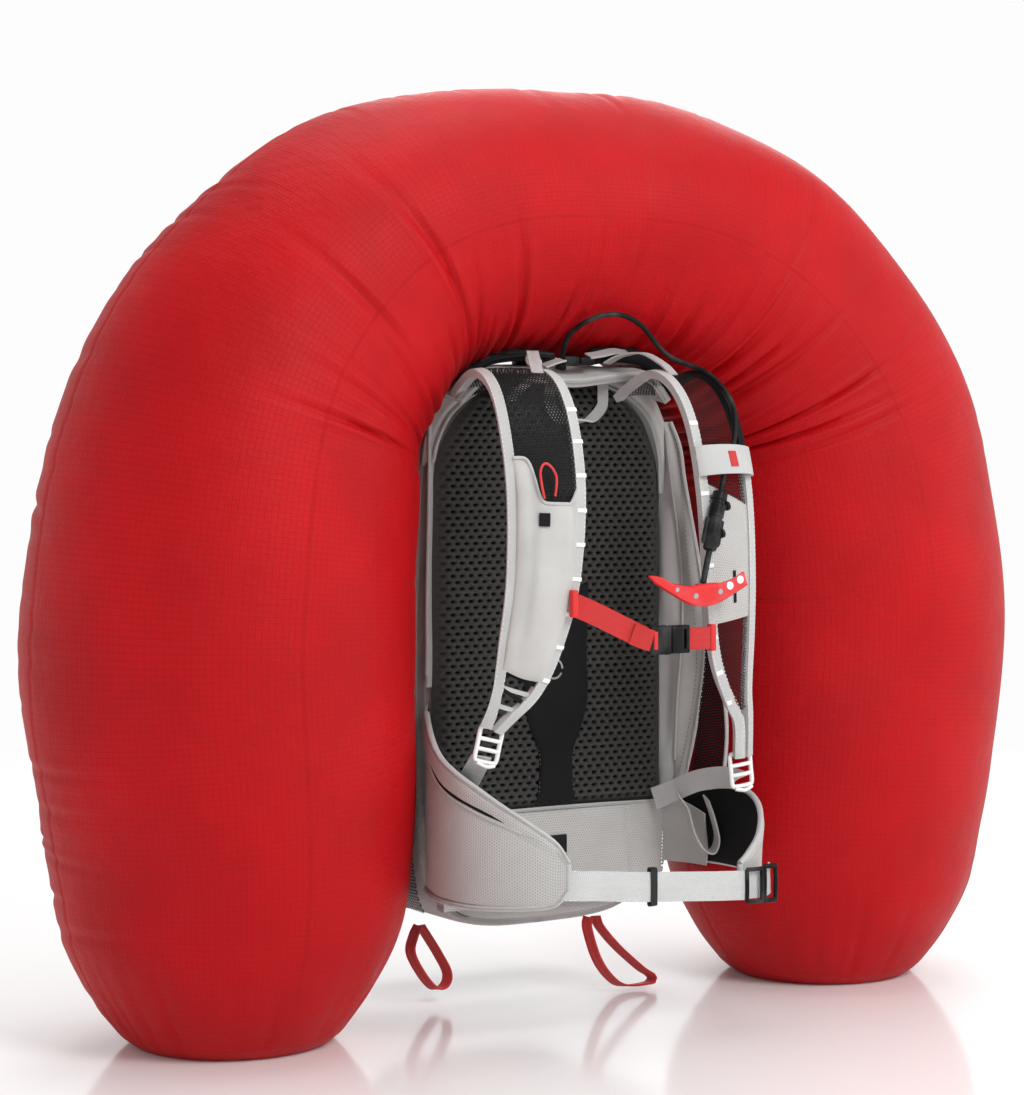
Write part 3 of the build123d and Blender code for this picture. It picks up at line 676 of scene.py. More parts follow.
def tub(name, stations, material, body, seed, close_first, inner):
    """A cloth shell through stations, closed at one end, with a 2 mm wall."""
    ring = pack_ring()
    rows = shell_rows(ring, stations)
    centre = rows.mean(axis=1, keepdims=True)
    away = unit((rows - centre) * np.array([1, 0, 1]))
    rows = rows + away * np.minimum(crumple(rows, 1.6, seed), 1.2)[..., None]
    cap = rows[0] if close_first else rows[-1]
    fills = []
    for share in (0.9, 0.75, 0.55, 0.3):
        fills.append(np.column_stack([cap[:, 0] * share,
                                      cap[:, 1] + (1 - share) * (1.5 if close_first else 3.0),
                                      336 + (cap[:, 2] - 336) * share]))
    fills = np.array(fills[::-1] if close_first else fills)
    rows = np.vstack([fills, rows]) if close_first else np.vstack([rows, fills])
    sides = rows.shape[1]
    verts = rows.reshape(-1, 3)
    faces = grid_faces(len(rows), sides, wrap=True)
    edge = 0 if close_first else (len(rows) - 1) * sides
    lid = tuple(range(edge, edge + sides))
    faces.append(lid if close_first else tuple(reversed(lid)))
    around = np.concatenate([[0], np.cumsum(np.linalg.norm(np.diff(ring, axis=0), axis=1))])
    # the cloth's grain runs round the sides and lies flat across the closed end
    down = np.concatenate([[0], np.cumsum(np.linalg.norm(np.diff(rows, axis=0), axis=2).mean(axis=1))])
    uv = np.stack(np.broadcast_arrays(down[:, None], around[None]), axis=2).copy()
    flat = len(fills) + sum(inset >= 9 for _, inset in stations)
    end = slice(0, flat) if close_first else slice(len(rows) - flat, len(rows))
    uv[end] = rows[end][..., [0, 2]]
    piece = make_mesh(name, verts, faces, material, body, uv.reshape(-1, 2), 50, None, (inner,))
    solid = piece.modifiers.new("wall", "SOLIDIFY")
    solid.thickness = 2.0 * MM
    solid.offset = -1
    solid.material_offset = 1
    solid.material_offset_rim = 0
    return piece


def pack_shell():
    """The pack body and, hinged to it at the bottom, the outer panel."""
    front = [(1, 16), (2.5, 9), (6, 4), (12, 1), (24, 0), (48, -1), (76, -1.5), (104, -1.5), (130, -0.5),
             (142, 0.5), (147, 2)]
    body = tub("pack_shell", front, M["pack_side"], "pack", 21, True, M["lining"])
    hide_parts("pack_body")
    back = [(149, 2), (153, 0.5), (160, 0), (168, 1), (176, 4.5), (182, 10), (186, 18), (188.5, 30), (189.5,
                                                                                                      44)]
    rear = tub("outer_shell", back, M["pack_side"], "outer_panel", 22, False, M["lining"])
    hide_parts("outer_panel")


def main_zip():
    """The clamshell zip between pack and outer panel: a black coil on each half, with its slider and pull."""
    ring = pack_ring(120)
    for body, y, name in (("pack", 146.2, "body"), ("outer_panel", 149.8, "panel")):
        line = ring_inset(ring, -0.9)
        points = [(x, y, z) for x, z in line]
        rope(f"zip_coil_{name}", points, 1.5, M["black_plastic"], body, 240, 8, closed=True)
    for node, mat in (("zip_slider", "black_plastic"), ("zip_pull", "black_webbing")):
        paint(node, mat)


def paint(node, material):
    """Gives a CAD node its finished material."""
    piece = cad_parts[node]
    piece.data.materials.clear()
    piece.data.materials.append(M[material])


# ---------------------------------------------------------------- back panel
MESH_SHIFT = -3.0


def arch_half_width(z):
    """Half the width of the back mesh at height z."""
    t = min(0.999, max(0.0, (z - 466) / 125.0))
    return 122.0 * (1 - t ** 2.5) ** 0.45


def back_mesh():
    """The spacer mesh panel with its pressed rows of oval hollows."""
    rows, cols = 400, 260
    z = np.linspace(188, 590, rows)
    half = np.array([arch_half_width(v) for v in z])
    v = np.linspace(-1, 1, cols)
    x = half[:, None] * v[None] + MESH_SHIFT * (half[:, None] / 122)
    zz = z[:, None] + 0 * x
    across, up = 9.4, 11.8
    def near(shift):
        a = (x / across + shift) % 1 - 0.5
        b = (zz / up + shift) % 1 - 0.5
        return np.sqrt((a * across / 1.45) ** 2 + (b * up) ** 2)
    hollow = np.clip((2.95 - np.minimum(near(0.0), near(0.5))) / 1.2, 0, 1)
    rim = np.clip((1 - np.abs(v[None])) * half[:, None] / 16, 0, 1) * np.clip((zz - 188) / 10, 0, 1)
    rim = np.clip(rim * np.clip((590 - zz) / 12, 0, 1), 0, 1)
    y = -6 - 9.5 * np.sin(rim * math.pi / 2) + hollow * 3.2 * rim
    mid = np.stack([x, y, zz], axis=2)
    piece = slab("back_mesh_panel", mid, 0.3, 1.2, M["spacer"], "pack")
    # the hollow values are kept on the mesh for the material, which paints shade into the pressed hollows
    shade = piece.data.attributes.new("hollow", "FLOAT", "POINT")
    shade.data.foreach_set("value", np.tile((hollow * rim).ravel(), 2).astype(np.float32))
    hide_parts("back_mesh")


def spine():
    """The black padded column up the middle of the back, waisted near its foot."""
    rows, cols = 90, 30
    stations = [(196, 21), (215, 18), (240, 18), (268, 30), (290, 35), (330, 33), (368, 35), (396, 35)]
    z = np.linspace(194, 396, rows)
    half = np.interp(z, [a for a, _ in stations], [b for _, b in stations])
    half = np.convolve(np.pad(half, 4, mode="edge"), np.ones(9) / 9, mode="valid")
    v = np.linspace(-1, 1, cols)
    x = half[:, None] * v[None]
    crown = edge_soft(rows, cols, 3.2, 0.16, 0.1)
    y = -16.4 + 0 * x
    mid = np.stack([x, y, z[:, None] + 0 * x], axis=2)
    piece = slab("spine_column", mid, 0.6, crown, M["black_cloth"], "pack")
    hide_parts("spine_pad")
    # the raised ring is a real emboss of the black cloth; its grey colour is a painted highlight on it
    ring = [(-4 + 9 * math.cos(a), -19.9, 318 + 9 * math.sin(a)) for a in np.linspace(0, 5.8, 12)]
    rope("spine_ring", ring, 0.9, M["grey_webbing"], "pack", 50, 8)
    edge = [(-h * 0.94, -17.6, zz) for h, zz in zip(half[4:-4:10], z[4:-4:10])]
    right = [(-x, y, zz) for x, y, zz in edge]
    for side, line in (("right", edge), ("left", right)):
        stitches(f"spine_stitches_{side}", line, M["dark_thread"], "pack")


def lumbar():
    """The lumbar pad with its sewn channels and plain patch."""
    rows, cols = 40, 90
    z = np.linspace(100, 187, rows)
    half = np.linspace(117, 120, rows)
    v = np.linspace(-1, 1, cols)
    x = half[:, None] * v[None]
    crown = edge_soft(rows, cols, 7.0, 0.14, 0.15)
    seams = 2.4 * np.exp(-((np.abs(x) - 78) / 3.0) ** 2)
    mid = np.stack([x, -13.0 + 0 * x, z[:, None] + 0 * x], axis=2)
    piece = slab("lumbar_cushion", mid, 12.5, np.maximum(crown - seams, 0.6), M["pack_side"], "pack")
    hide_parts("lumbar_pad")
    rope("lumbar_piping", [(-119, -14, 186), (-60, -16, 187.5), (0, -16.5, 188), (60, -16, 187.5),
                           (119, -14, 186)], 1.8, M["binding"])
    block_mesh("lumbar_patch", (-9, -22.0, 146), (9, -20.2, 163), M["black_cloth"], "pack",
               0.6)
    block_mesh("lumbar_patch_edge", (-9, -22.3, 141), (9, -20.5, 145), M["red_webbing"], "pack",
               0.5)


# ---------------------------------------------------------------- yoke and top
def yoke():
    """The padded collar of cloth round the head of the back mesh, and the shelf over it."""
    inner = [(-126, -11, 512), (-121, -13, 534), (-107, -14, 558), (-80, -15, 577), (-42, -15, 587),
             (0, -15, 589), (42, -15, 586), (76, -15, 575), (103, -14, 553), (116, -13, 520), (119, -12, 480)]
    outer = [(-131, -3, 508), (-128, -4, 532), (-119, -6, 562), (-98, -10, 590), (-58, -13, 600),
             (0, -14, 600), (58, -13, 600), (98, -10, 588), (123, -6, 552), (131, -4, 518), (134, -3, 476)]
    rows, cols = 120, 16
    a, b = spline(inner, rows), spline(outer, rows)
    v = np.linspace(0, 1, cols)[None, :, None]
    mid = a[:, None] * (1 - v) + b[:, None] * v
    mid[..., 1] += 5
    crown = edge_soft(rows, cols, 8.5, 0.3, 0.2)
    slab("yoke", mid, crown, 6, M["pack"], "pack")
    rope("yoke_piping", [(x, y + 1.5, z) for x, y, z in inner], 2.0, M["grey_webbing"], "pack",
         90)

    rows, cols = 90, 18
    x = np.linspace(-112, 112, rows)
    drop = np.clip((np.abs(x) - 78) / 34, 0, 1) ** 1.6 * 26
    depth = np.linspace(0, 1, cols)
    dip = 7.5 * np.exp(-(x / 46) ** 2)
    front = -45 + 9 * np.clip((np.abs(x) - 84) / 28, 0, 1)
    y = -2 + depth[None] * (front[:, None] + 2)
    z = 597.5 - drop[:, None] - depth[None] ** 2 * (4 + dip[:, None])
    mid = np.stack([x[:, None] + 0 * y, y, z], axis=2)
    shelf = slab("collar_shelf", mid, 3.5, 3.5, M["pack"], "pack")
    rim = [(a, b - 0.5, c) for a, b, c in zip(x[::8], front[::8], z[::8, -1])]
    rope("collar_piping", rim, 2.3, M["binding"], "pack", 90)
    fall = [(a, b + 3, c - 5) for a, b, c in rim]
    line, low = spline(rim, rows), spline(fall, rows)
    v = np.linspace(0, 1, 8)[None, :, None]
    skirt = line[:, None] * (1 - v) + low[:, None] * v
    slab("collar_skirt", skirt, 1.2, 1.2, M["pack"], "pack")
    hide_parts("top_collar")


def outlet_zip():
    """The burst outlet zip: a rolled black flap on each side of the clip, with its teeth."""
    y = -32
    sides = {"right": [(-108, y + 4, 583), (-98, y + 2, 596), (-82, y, 605), (-60, y, 609), (-36, y, 610),
                       (-14, y - 1, 608)],
             "left": [(110, y + 4, 584), (102, y + 1, 597), (88, y, 607.5), (66, y, 611.5), (46, y, 611.5),
                      (28, y - 1, 609)]}
    for side, line in sides.items():
        size = 7.6 if side == "left" else 5.4
        rope(f"outlet_roll_{side}", line, size, M["black_cloth"], "pack", 60, 14)
        above = [(a, b - size * 0.8, c + size * 0.45) for a, b, c in line]
        rope(f"outlet_teeth_{side}", above, 1.3, M["black_plastic"], "pack", 90,
                         6)
        flap = [(a, b - size * 0.2, c - 2) for a, b, c in line]
        ribbon(f"outlet_flap_{side}", flap, 13, 1.4, M["black_cloth"], (0, -1, 0.25), "pack",
                           50, 1.0)
    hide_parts("outlet_zip")


def top_clip():
    """A small side-release clip that closes the collar, with its short grey tail."""
    socket = [block_mesh("clip_a", (-11, -52, 600.3), (6, -41, 609.3), M["black_plastic"], "pack",
                         2.0)]
    piece = join("top_clip_socket", socket, "pack")
    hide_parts("top_buckle_socket")
    prong = [block_mesh("clip_b", (6.6, -51.4, 600.9), (22, -41.6, 608.7), M["black_plastic"], "top_prong",
                        1.8),
             block_mesh("clip_c", (-4, -49, 603.1), (8, -44, 606.5), M["black_plastic"], "top_prong",
                        1.0)]
    piece = join("top_clip_prong", prong, "top_prong")
    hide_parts("top_buckle_prong")
    ribbon("top_clip_tail", [(17, -46.5, 609.6), (30, -46.5, 611.5), (46, -47, 614.5), (60, -47, 613)], 12,
           1.6,
           M["grey_webbing"], (0, 1, 0.4), "top_prong", 24)
    ribbon("top_clip_base", [(-10, -46.5, 606), (-18, -47, 604), (-30, -46, 600)], 12, 1.6, M["grey_webbing"],
           (0, 1, 0.2), "pack", 16)


# ---------------------------------------------------------------- shoulder straps
SPLAY = math.radians(13)
# Strap centreline and width, wearer's left: (x, y, z, width)
STRAP_LEFT = [(84, -30, 571, 62), (86, -46, 580, 63), (89, -82, 592, 64), (91, -116, 580, 66), (94, -140,
                                                                                                545, 67),
              (96, -155, 485, 67), (99, -158, 410, 64), (106, -151, 345, 55), (118, -142, 302, 35),
              (128, -136, 276, 22), (131, -132, 240, 20)]
# Wearer's right, as if mirrored to the left
STRAP_RIGHT = [(84, -30, 571, 62), (86, -46, 580, 64), (88, -82, 592, 67), (89, -116, 580, 70), (90, -140,
                                                                                                 545, 72),
               (91, -155, 485, 71), (96, -158, 410, 66), (105, -152, 355, 57), (113, -146, 322, 46),
               (124, -140, 299, 30), (133, -132, 281, 20)]


class Strap:
    """The curved frame of one shoulder strap: points on it by share along, share across and lift."""

    def __init__(self, sign, count=120):
        line = spline(STRAP_LEFT if sign > 0 else STRAP_RIGHT, count)
        self.sign = sign
        self.path, self.width = line[:, :3] * np.array([sign, 1, 1]), line[:, 3]
        across = np.array([sign * math.cos(SPLAY), math.sin(SPLAY), 0.0])
        tangent = unit(np.gradient(self.path, axis=0))
        side = across - tangent * (tangent @ across)[:, None]
        self.side = unit(side)
        self.normal = unit(np.cross(tangent, self.side)) * -sign
        if self.normal[60][1] > 0:
            self.normal = -self.normal

    def at(self, u, v, lift=0.0):
        """u runs from 0 at the collar to 1 at the buckle, v from -1 inner edge to 1 outer edge."""
        k = np.clip(u, 0, 1) * (len(self.path) - 1)
        i = int(min(k, len(self.path) - 2))
        f = k - i
        path = self.path[i] * (1 - f) + self.path[i + 1] * f
        side = self.side[i] * (1 - f) + self.side[i + 1] * f
        normal = self.normal[i] * (1 - f) + self.normal[i + 1] * f
        width = self.width[i] * (1 - f) + self.width[i + 1] * f
        cup = 3.0 * (1 - v * v)
        return path + side * (v * width / 2) + normal * (lift + cup)

    def line(self, places):
        return [self.at(*place) for place in places]

    def patch(self, u_low, u_high, v_low, v_high, lift, rows, cols):
        """A grid on the strap; the bounds may be functions of the other share."""
        grid = np.zeros((rows, cols, 3))
        for i, a in enumerate(np.linspace(0, 1, rows)):
            for j, b in enumerate(np.linspace(0, 1, cols)):
                low = u_low(b) if callable(u_low) else u_low
                high = u_high(b) if callable(u_high) else u_high
                u = low + (high - low) * a
                left = v_low(u) if callable(v_low) else v_low
                right = v_high(u) if callable(v_high) else v_high
                grid[i, j] = self.at(u, left + (right - left) * b, lift)
        return grid


def strap_slab(name, strap, grid, front, back, material, inner=None):
    """A slab whose front faces away from the wearer."""
    normal = normals_of(grid)
    if normal[grid.shape[0] // 2, grid.shape[1] // 2] @ strap.normal[60] < 0:
        grid = grid[:, ::-1]
        if np.ndim(front):
            front = front[:, ::-1]
    return slab(name, grid, front, back, material, "pack", inner)


def shoulder_strap(side, sign):
    """One shoulder strap: its mesh, bindings, stitches and daisy bars, and on the right the bars at its foot.
    """
    strap = Strap(sign)
    foot = 0.90 if side == "left" else 0.86
    core = strap.patch(0, foot, -0.97, 0.97, 0.0, 100, 22)
    thin = 0.9 if side == "left" else 2.6
    soft = edge_soft(100, 22, thin, 0.14, 0.3)
    mesh = M["strap_mesh"] if side == "left" else M["strap_knit"]
    piece = strap_slab(f"strap_{side}", strap, core, soft, soft, mesh)
    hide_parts(f"shoulder_strap_{side}")
    for edge, v in (("inner", -1), ("outer", 1)):
        mid = strap.patch(0, 1, lambda u: v - (v > 0) * edge_share(strap, u),
                          lambda u: v + (v < 0) * edge_share(strap, u),
                          0.0, 120, 6)
        black_top = side == "left" and edge == "outer"
        cloth = M["black_cloth"] if black_top else M["binding"]
        if black_top:
            strap_slab(f"strap_binding_top_{side}", strap, mid[:46], 3.2, 3.2, cloth)
            mid = mid[45:]
        strap_slab(f"strap_binding_{edge}_{side}", strap, mid, 3.6, 3.6, M["binding"])
        first = 0.40 if black_top else 0.02
        for k, reach in enumerate((0.02, 0.9)):
            line = strap.line([(u, v - v * reach * edge_share(strap, u), 3.9) for u in np.linspace(first,
                                                                                                   0.97,
                                                                                                   14)])
            stitches(f"strap_stitches_{edge}_{side}_{k}", line, M["thread"])
    bars = []
    for k, u in enumerate(np.linspace(0.30, 0.86, 9)):
        mid = strap.patch(u, u + 0.008, -1.03, -0.76, 4.0, 3, 6)
        bars.append(strap_slab(f"daisy_{side}_{k}", strap, mid, 0.9, 0.4, M["thread"]))
    join(f"daisy_bars_{side}", bars, "pack")
    if side == "left":
        return strap
    rungs = []
    for k, u in enumerate((0.875, 0.895, 0.915, 0.935)):
        tilt = 0.012 if k % 2 else -0.006
        mid = strap.patch(lambda b: u + tilt * b, lambda b: u + tilt * b + 0.009, -0.8, 0.8, 0.4, 4, 8)
        cloth = M["black_cloth"] if k % 2 == 0 else M["binding"]
        rungs.append(strap_slab(f"rung_{side}_{k}", strap, mid, 1.0, 1.0, cloth))
    join(f"strap_foot_{side}", rungs, "pack")
    return strap


def edge_share(strap, u):
    """The share of the strap's half width that its 9 mm edge band takes at u."""
    k = int(np.clip(u, 0, 1) * (len(strap.width) - 1))
    return min(0.85, 9.0 * 2 / strap.width[k])


def left_strap_panel(strap):
    """The pale stiff panel under the trigger on the wearer's left strap, its top edge slanting."""
    top = lambda b: 0.425 + 0.045 * b
    grid = strap.patch(top, 0.70, -0.74, 0.74, 1.2, 40, 16)
    strap_slab("trigger_panel", strap, grid, 0.9, 0.9, M["pack_side"])
    edge = strap.line([(top(b), -0.74 + 1.48 * b, 2.6) for b in np.linspace(0, 1, 7)])
    stitches("trigger_panel_seam", edge, M["dark_thread"], "pack")
    cut = strap.patch(0.60, 0.665, 0.02, 0.12, 2.6, 6, 4)
    strap_slab("trigger_panel_slot", strap, cut, 0.4, 0.3, M["black_cloth"])


def right_strap_pocket(strap):
    """White stretch pocket on the wearer's right strap: a deep mouth, with a tab at its outer side."""
    def mouth(b):
        rise = 1 / (1 + math.exp((b - 0.70) * -26))
        return 0.500 - 0.100 * rise - 0.034 * max(0.0, (0.12 - b) / 0.12)
    rows, cols = 60, 44
    low = lambda b: 0.868 + 0.006 * math.sin(b * math.pi)
    grid = strap.patch(mouth, low, -0.80, 0.80, 3.0, rows, cols)
    full = edge_soft(rows, cols, 5.0, 0.2, 0.15)
    folds = 0.9 * np.sin(np.linspace(0, 7, rows)[:, None] + np.linspace(0, 5, cols)[None] * 1.3)
    full = np.maximum(full + folds * full / 5, 0.5)
    piece = strap_slab("pocket", strap, grid, full, 0.8, M["white_cloth"], M["black_cloth"])
    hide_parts("strap_pocket")
    edge = strap.line([(mouth(b) + 0.002, -0.80 + 1.60 * b, 5.0) for b in np.linspace(0, 1, 22)])
    rope("pocket_mouth_binding", edge, 1.6, M["binding"], "pack", 90)
    tab = strap.patch(0.522, 0.550, -0.02, 0.26, 8.6, 4, 4)
    strap_slab("pocket_tab", strap, tab, 0.6, 0.4, M["black_cloth"])
    seam = strap.line([(u, -0.70, 5.0) for u in np.linspace(0.52, 0.78, 9)])
    stitches("pocket_seam", seam, M["thread"])


ELASTIC_ROUTE = [(-98, -165.5, 482), (-103, -168, 496), (-104, -168, 508), (-98, -167, 514), (-90, -167, 508),
                 (-86, -168, 498), (-88, -166.5, 484)]


def nurbs(name, route, radius, material, body):
    """A cord on a smooth line whose control points are the route's points."""
    curve = bpy.data.curves.new(name, "CURVE")
    curve.dimensions = "3D"
    run = curve.splines.new("NURBS")
    run.points.add(len(route) - 1)
    for point, place in zip(run.points, route):
        point.co = tuple(c * MM for c in place) + (1.0,)
    run.order_u = 3
    run.use_endpoint_u = True
    run.resolution_u = 12
    curve.bevel_depth = radius * MM
    curve.bevel_resolution = 5
    curve.use_fill_caps = True
    curve.materials.append(material)
    piece = bpy.data.objects.new(name, curve)
    bpy.context.collection.objects.link(piece)
    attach(piece, body)
    return piece


# ---------------------------------------------------------------- trigger
TRIGGER_TOP = np.array([82.0, -171.0, 486.0])
TRIGGER_END = np.array([54.0, -184.0, 402.0])
PULL = unit(TRIGGER_END - TRIGGER_TOP)
LEAD_IN = TRIGGER_TOP - PULL * 17
CABLE_ROUTE = [(0, -27, 601.6), (-4, -37, 617), (-7, -52, 629), (-2, -66, 638), (8, -76, 645), (23, -80, 648),
               (39, -81, 646), (58, -78, 637), (73, -76, 621), (84, -80, 609), (97, -90, 602), (108, -106,
                                                                                                596),
               (114.5, -126, 581), (115.5, -144, 562), (111.5, -151.5, 540), (102, -159, 520),
               tuple(LEAD_IN), tuple(TRIGGER_TOP)]


def turned(name, start, along, rings, material, body, sides=28):
    """A turned shape: rings of (distance along, radius) about a line."""
    along = unit(np.array(along, float))
    side = unit(np.cross(along, [0.0, 1.0, 0.1]))
    up = np.cross(side, along)
    turn = np.linspace(0, 2 * math.pi, sides, endpoint=False)
    verts = []
    for reach, radius in rings:
        for angle in turn:
            verts.append(start + along * reach + (side * math.cos(angle) + up * math.sin(angle)) * radius)
    faces = grid_faces(len(rings), sides, wrap=True)
    faces.append(tuple(range(sides)))
    faces.append(tuple(reversed(range(len(verts) - sides, len(verts)))))
    return make_mesh(name, np.array(verts), faces, material, body, None, 35)


def pocket_elastic():
    """The red elastic loop that stands out of the strap pocket."""
    elastic = nurbs("pocket_elastic_loop", ELASTIC_ROUTE, 1.1, M["elastic"], "pack")


def trigger():
    """The trigger cable, its gland, the housing with its knobs and the plunger."""
    cable = nurbs("trigger_cable_sheath", CABLE_ROUTE, 2.4, M["cable"], "pack")
    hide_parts("trigger_cable")
    turned("cable_gland", np.array([0, -25.0, 597.0]), (-4, -12, 17),
           [(0, 5.0), (4, 5.0), (5, 4.4), (12, 3.4), (16, 2.6)], M["black_plastic"], "pack")
    rings = [(0, 2.7), (0.6, 5.6), (1.6, 6.8), (8, 7.0), (9, 6.0), (12, 6.0), (13, 7.0), (24, 7.0), (25, 6.2),
             (31, 6.2), (32, 7.0), (46, 7.0), (47.5, 6.4), (54, 6.2), (55.5, 5.2), (55.8, 3.3)]
    shell = turned("trigger_shell", TRIGGER_TOP, PULL, rings, M["black_plastic"], "pack")
    parts = [shell]
    for reach in (18, 44):
        spot = TRIGGER_TOP + PULL * reach
        parts.append(turned(f"knob_{reach}", spot + np.array([3, 0, 2]), (9, 0, 2),
                            [(0, 4.0), (4, 4.0), (4.5, 3.2), (6, 3.2), (6.5, 4.2), (9.2, 4.2), (9.9, 3.4)],
                            M["black_plastic"], "pack", 20))
    for side in (-1, 1):
        low = TRIGGER_TOP + PULL * 26 + np.array([side * 7.6, 0.5, side * -2.0])
        parts.append(turned(f"latch_{side}", low, PULL, [(0, 1.0), (1, 2.1), (22, 2.3), (25, 1.2)],
                            M["black_plastic"], "pack", 12))
    shell = join("trigger_shell", parts, "pack")
    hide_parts("trigger_housing")
    paint("trigger_plunger", "black_plastic")
    handle()


def handle():
    """The red pull: a wide, low-slung bar with two slots and rivets."""
    px, py, pz = 54.0, -184.0, 397.0
    top = [(-64, 17), (-52, 15.5), (-38, 9.5), (-20, 6.5), (-6, 7.5), (6, 8.5), (16, 8.5), (28, 12), (38,
                                                                                                      17.5)]
    low = [(-62, 14.5), (-54, 8), (-38, -1), (-20, -10), (-6, -12.5), (6, -11.5), (16, -8), (30, -1), (42,
                                                                                                       5.5)]
    rows, cols = 60, 12
    a = spline([(px + x, 0, pz + z) for x, z in top], rows)
    b = spline([(px + x, 0, pz + z) for x, z in low], rows)
    v = np.linspace(0, 1, cols)[None, :, None]
    mid = a[:, None] * (1 - v) + b[:, None] * v
    bow = 3.0 * ((mid[..., 0] - px) / 60) ** 2
    mid[..., 1] = py - 7.4 - bow
    full = edge_soft(rows, cols, 3.3, 0.16, 0.35)
    grip = slab("handle_grip", mid, full, full, M["red_plastic"], "trigger_handle")
    parts = [grip]
    for x, z in ((-34, 3.5), (-14, -2.5), (12, 0.5)):
        spot = np.array([px + x, py - 9.6, pz + z])
        parts.append(turned(f"rivet_{x}", spot, (0, -1, 0), [(0, 2.6), (1.6, 2.6), (2.2, 1.9), (2.3, 0.6)],
                            M["steel"], "trigger_handle", 20))
    for x, z in ((22, 5.5), (33, 10.5)):
        spot = np.array([px + x, py - 10.2, pz + z])
        parts.append(turned(f"eyelet_{x}", spot, (0, -1, 0.0), [(0, 3.6), (1.2, 3.6), (1.5, 3.1), (1.2, 2.4)],
                            M["white_plastic"], "trigger_handle", 20))
    parts.append(turned("handle_pin", np.array([px, py - 6, pz]), (0, 1, 0),
                        [(0, 1.9), (11, 1.9), (11.5, 1.4)], M["steel"], "trigger_handle", 16))
    piece = join("trigger_grip", parts, "trigger_handle")
    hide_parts("trigger_handle")


def trigger_band(strap):
    """The white loop band that holds the trigger cable to the left strap, and its plain red patch."""
    rows, cols = 14, 30
    grid = strap.patch(0.352, 0.412, -1.02, 1.02, 0.0, rows, cols)
    v = np.linspace(-1, 1, cols)[None, :]
    u = np.linspace(0, 1, rows)[:, None]
    lift = 4.8 + (8.0 + 3.0 * u) * (1 - v ** 2) ** 0.6
    grid = grid + np.broadcast_to(strap.normal[45], grid.shape) * lift[..., None]
    piece = strap_slab("cable_band", strap, grid, 0.9, 0.9, M["binding"])
    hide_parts("trigger_band")
    row = grid[3:11, 12:17]
    strap_slab("cable_band_patch", strap, row + strap.normal[45] * 1.1, 0.4, 0.3, M["red_webbing"])


# ---------------------------------------------------------------- sternum strap
STERNUM_Y, STERNUM_Z = -175.0, 372.0


def sternum():
    """The sternum strap in two halves with its sliders, socket and prong."""
    y, z = STERNUM_Y, STERNUM_Z
    right = ribbon("chest_webbing_right", [(-72, y + 2, z + 17), (-50, y, z + 7.5), (-20, y - 0.6, z - 6.5),
                                           (3, y, z - 16.5)], 20, 1.8,
                   M["red_webbing"], (0, 0, 1), "sternum_right", 40)
    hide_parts("sternum_webbing_right")
    z = STERNUM_Z - 17
    left = ribbon("chest_webbing_left", [(45, y, z), (56, y - 0.4, z), (66, y, z), (71, y + 2, z)], 20, 1.8,
                  M["red_webbing"], (0, 0, 1), "sternum_left", 20)
    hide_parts("sternum_webbing_left")
    ribbon("chest_webbing_tail", [(3, y - 5.6, z), (-6, y - 4.6, z + 3), (-16, y - 3.0, z + 7)], 19, 1.5,
           M["red_webbing"],
           (0, 0, 1), "sternum_right", 14)
    for name, x, drop, body in (("right", -73, 35, "sternum_right"), ("left", 71, 0, "sternum_left")):
        parts = [block_mesh("s1", (x - 3, y - 1.6, z + drop - 12), (x + 3, y + 5.4, z + drop + 12),
                            M["red_webbing"], body,
                            1.2)]
        join(f"chest_slider_{name}", parts, body)
    socket = [block_mesh("b1", (2.2, y - 5, z - 13), (20, y + 5, z + 13), M["black_plastic"], "sternum_right",
                         2.4),
              block_mesh("b2", (17, y - 5, z - 13), (24, y - 3.2, z + 13), M["black_plastic"],
                         "sternum_right",
                         0.8),
              block_mesh("b3", (17, y + 3.2, z - 13), (24, y + 5, z + 13), M["black_plastic"],
                         "sternum_right",
                         0.8),
              block_mesh("b4", (5, y - 6.4, z - 8), (9, y - 4.6, z + 8), M["red_webbing"], "sternum_right",
                         0.6)]
    piece = join("chest_buckle_socket", socket, "sternum_right")
    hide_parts("sternum_buckle_socket")
    prong = [block_mesh("p1", (25, y - 5, z - 12.5), (38, y + 5, z + 12.5), M["black_plastic"],
                        "sternum_left",
                        2.0),
             block_mesh("p2", (41, y - 3, z - 12.5), (45, y + 3, z + 12.5), M["black_plastic"],
                        "sternum_left",
                        1.2)]
    for side in (-1, 1):
        centre = z + side * 10.6
        prong.append(block_mesh(f"p3{side}", (36, y - 3, centre - 1.9), (44, y + 3, centre + 1.9),
                                M["black_plastic"], "sternum_left", 1.0))
        prong.append(block_mesh(f"p4{side}", (10.5, y - 2.4, z + side * 7 - 2), (27, y + 2.4,
                                                                                 z + side * 7 + 2),
                                M["black_plastic"], "sternum_left", 0.9))
    piece = join("chest_buckle_prong", prong, "sternum_left")
    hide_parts("sternum_buckle_prong")


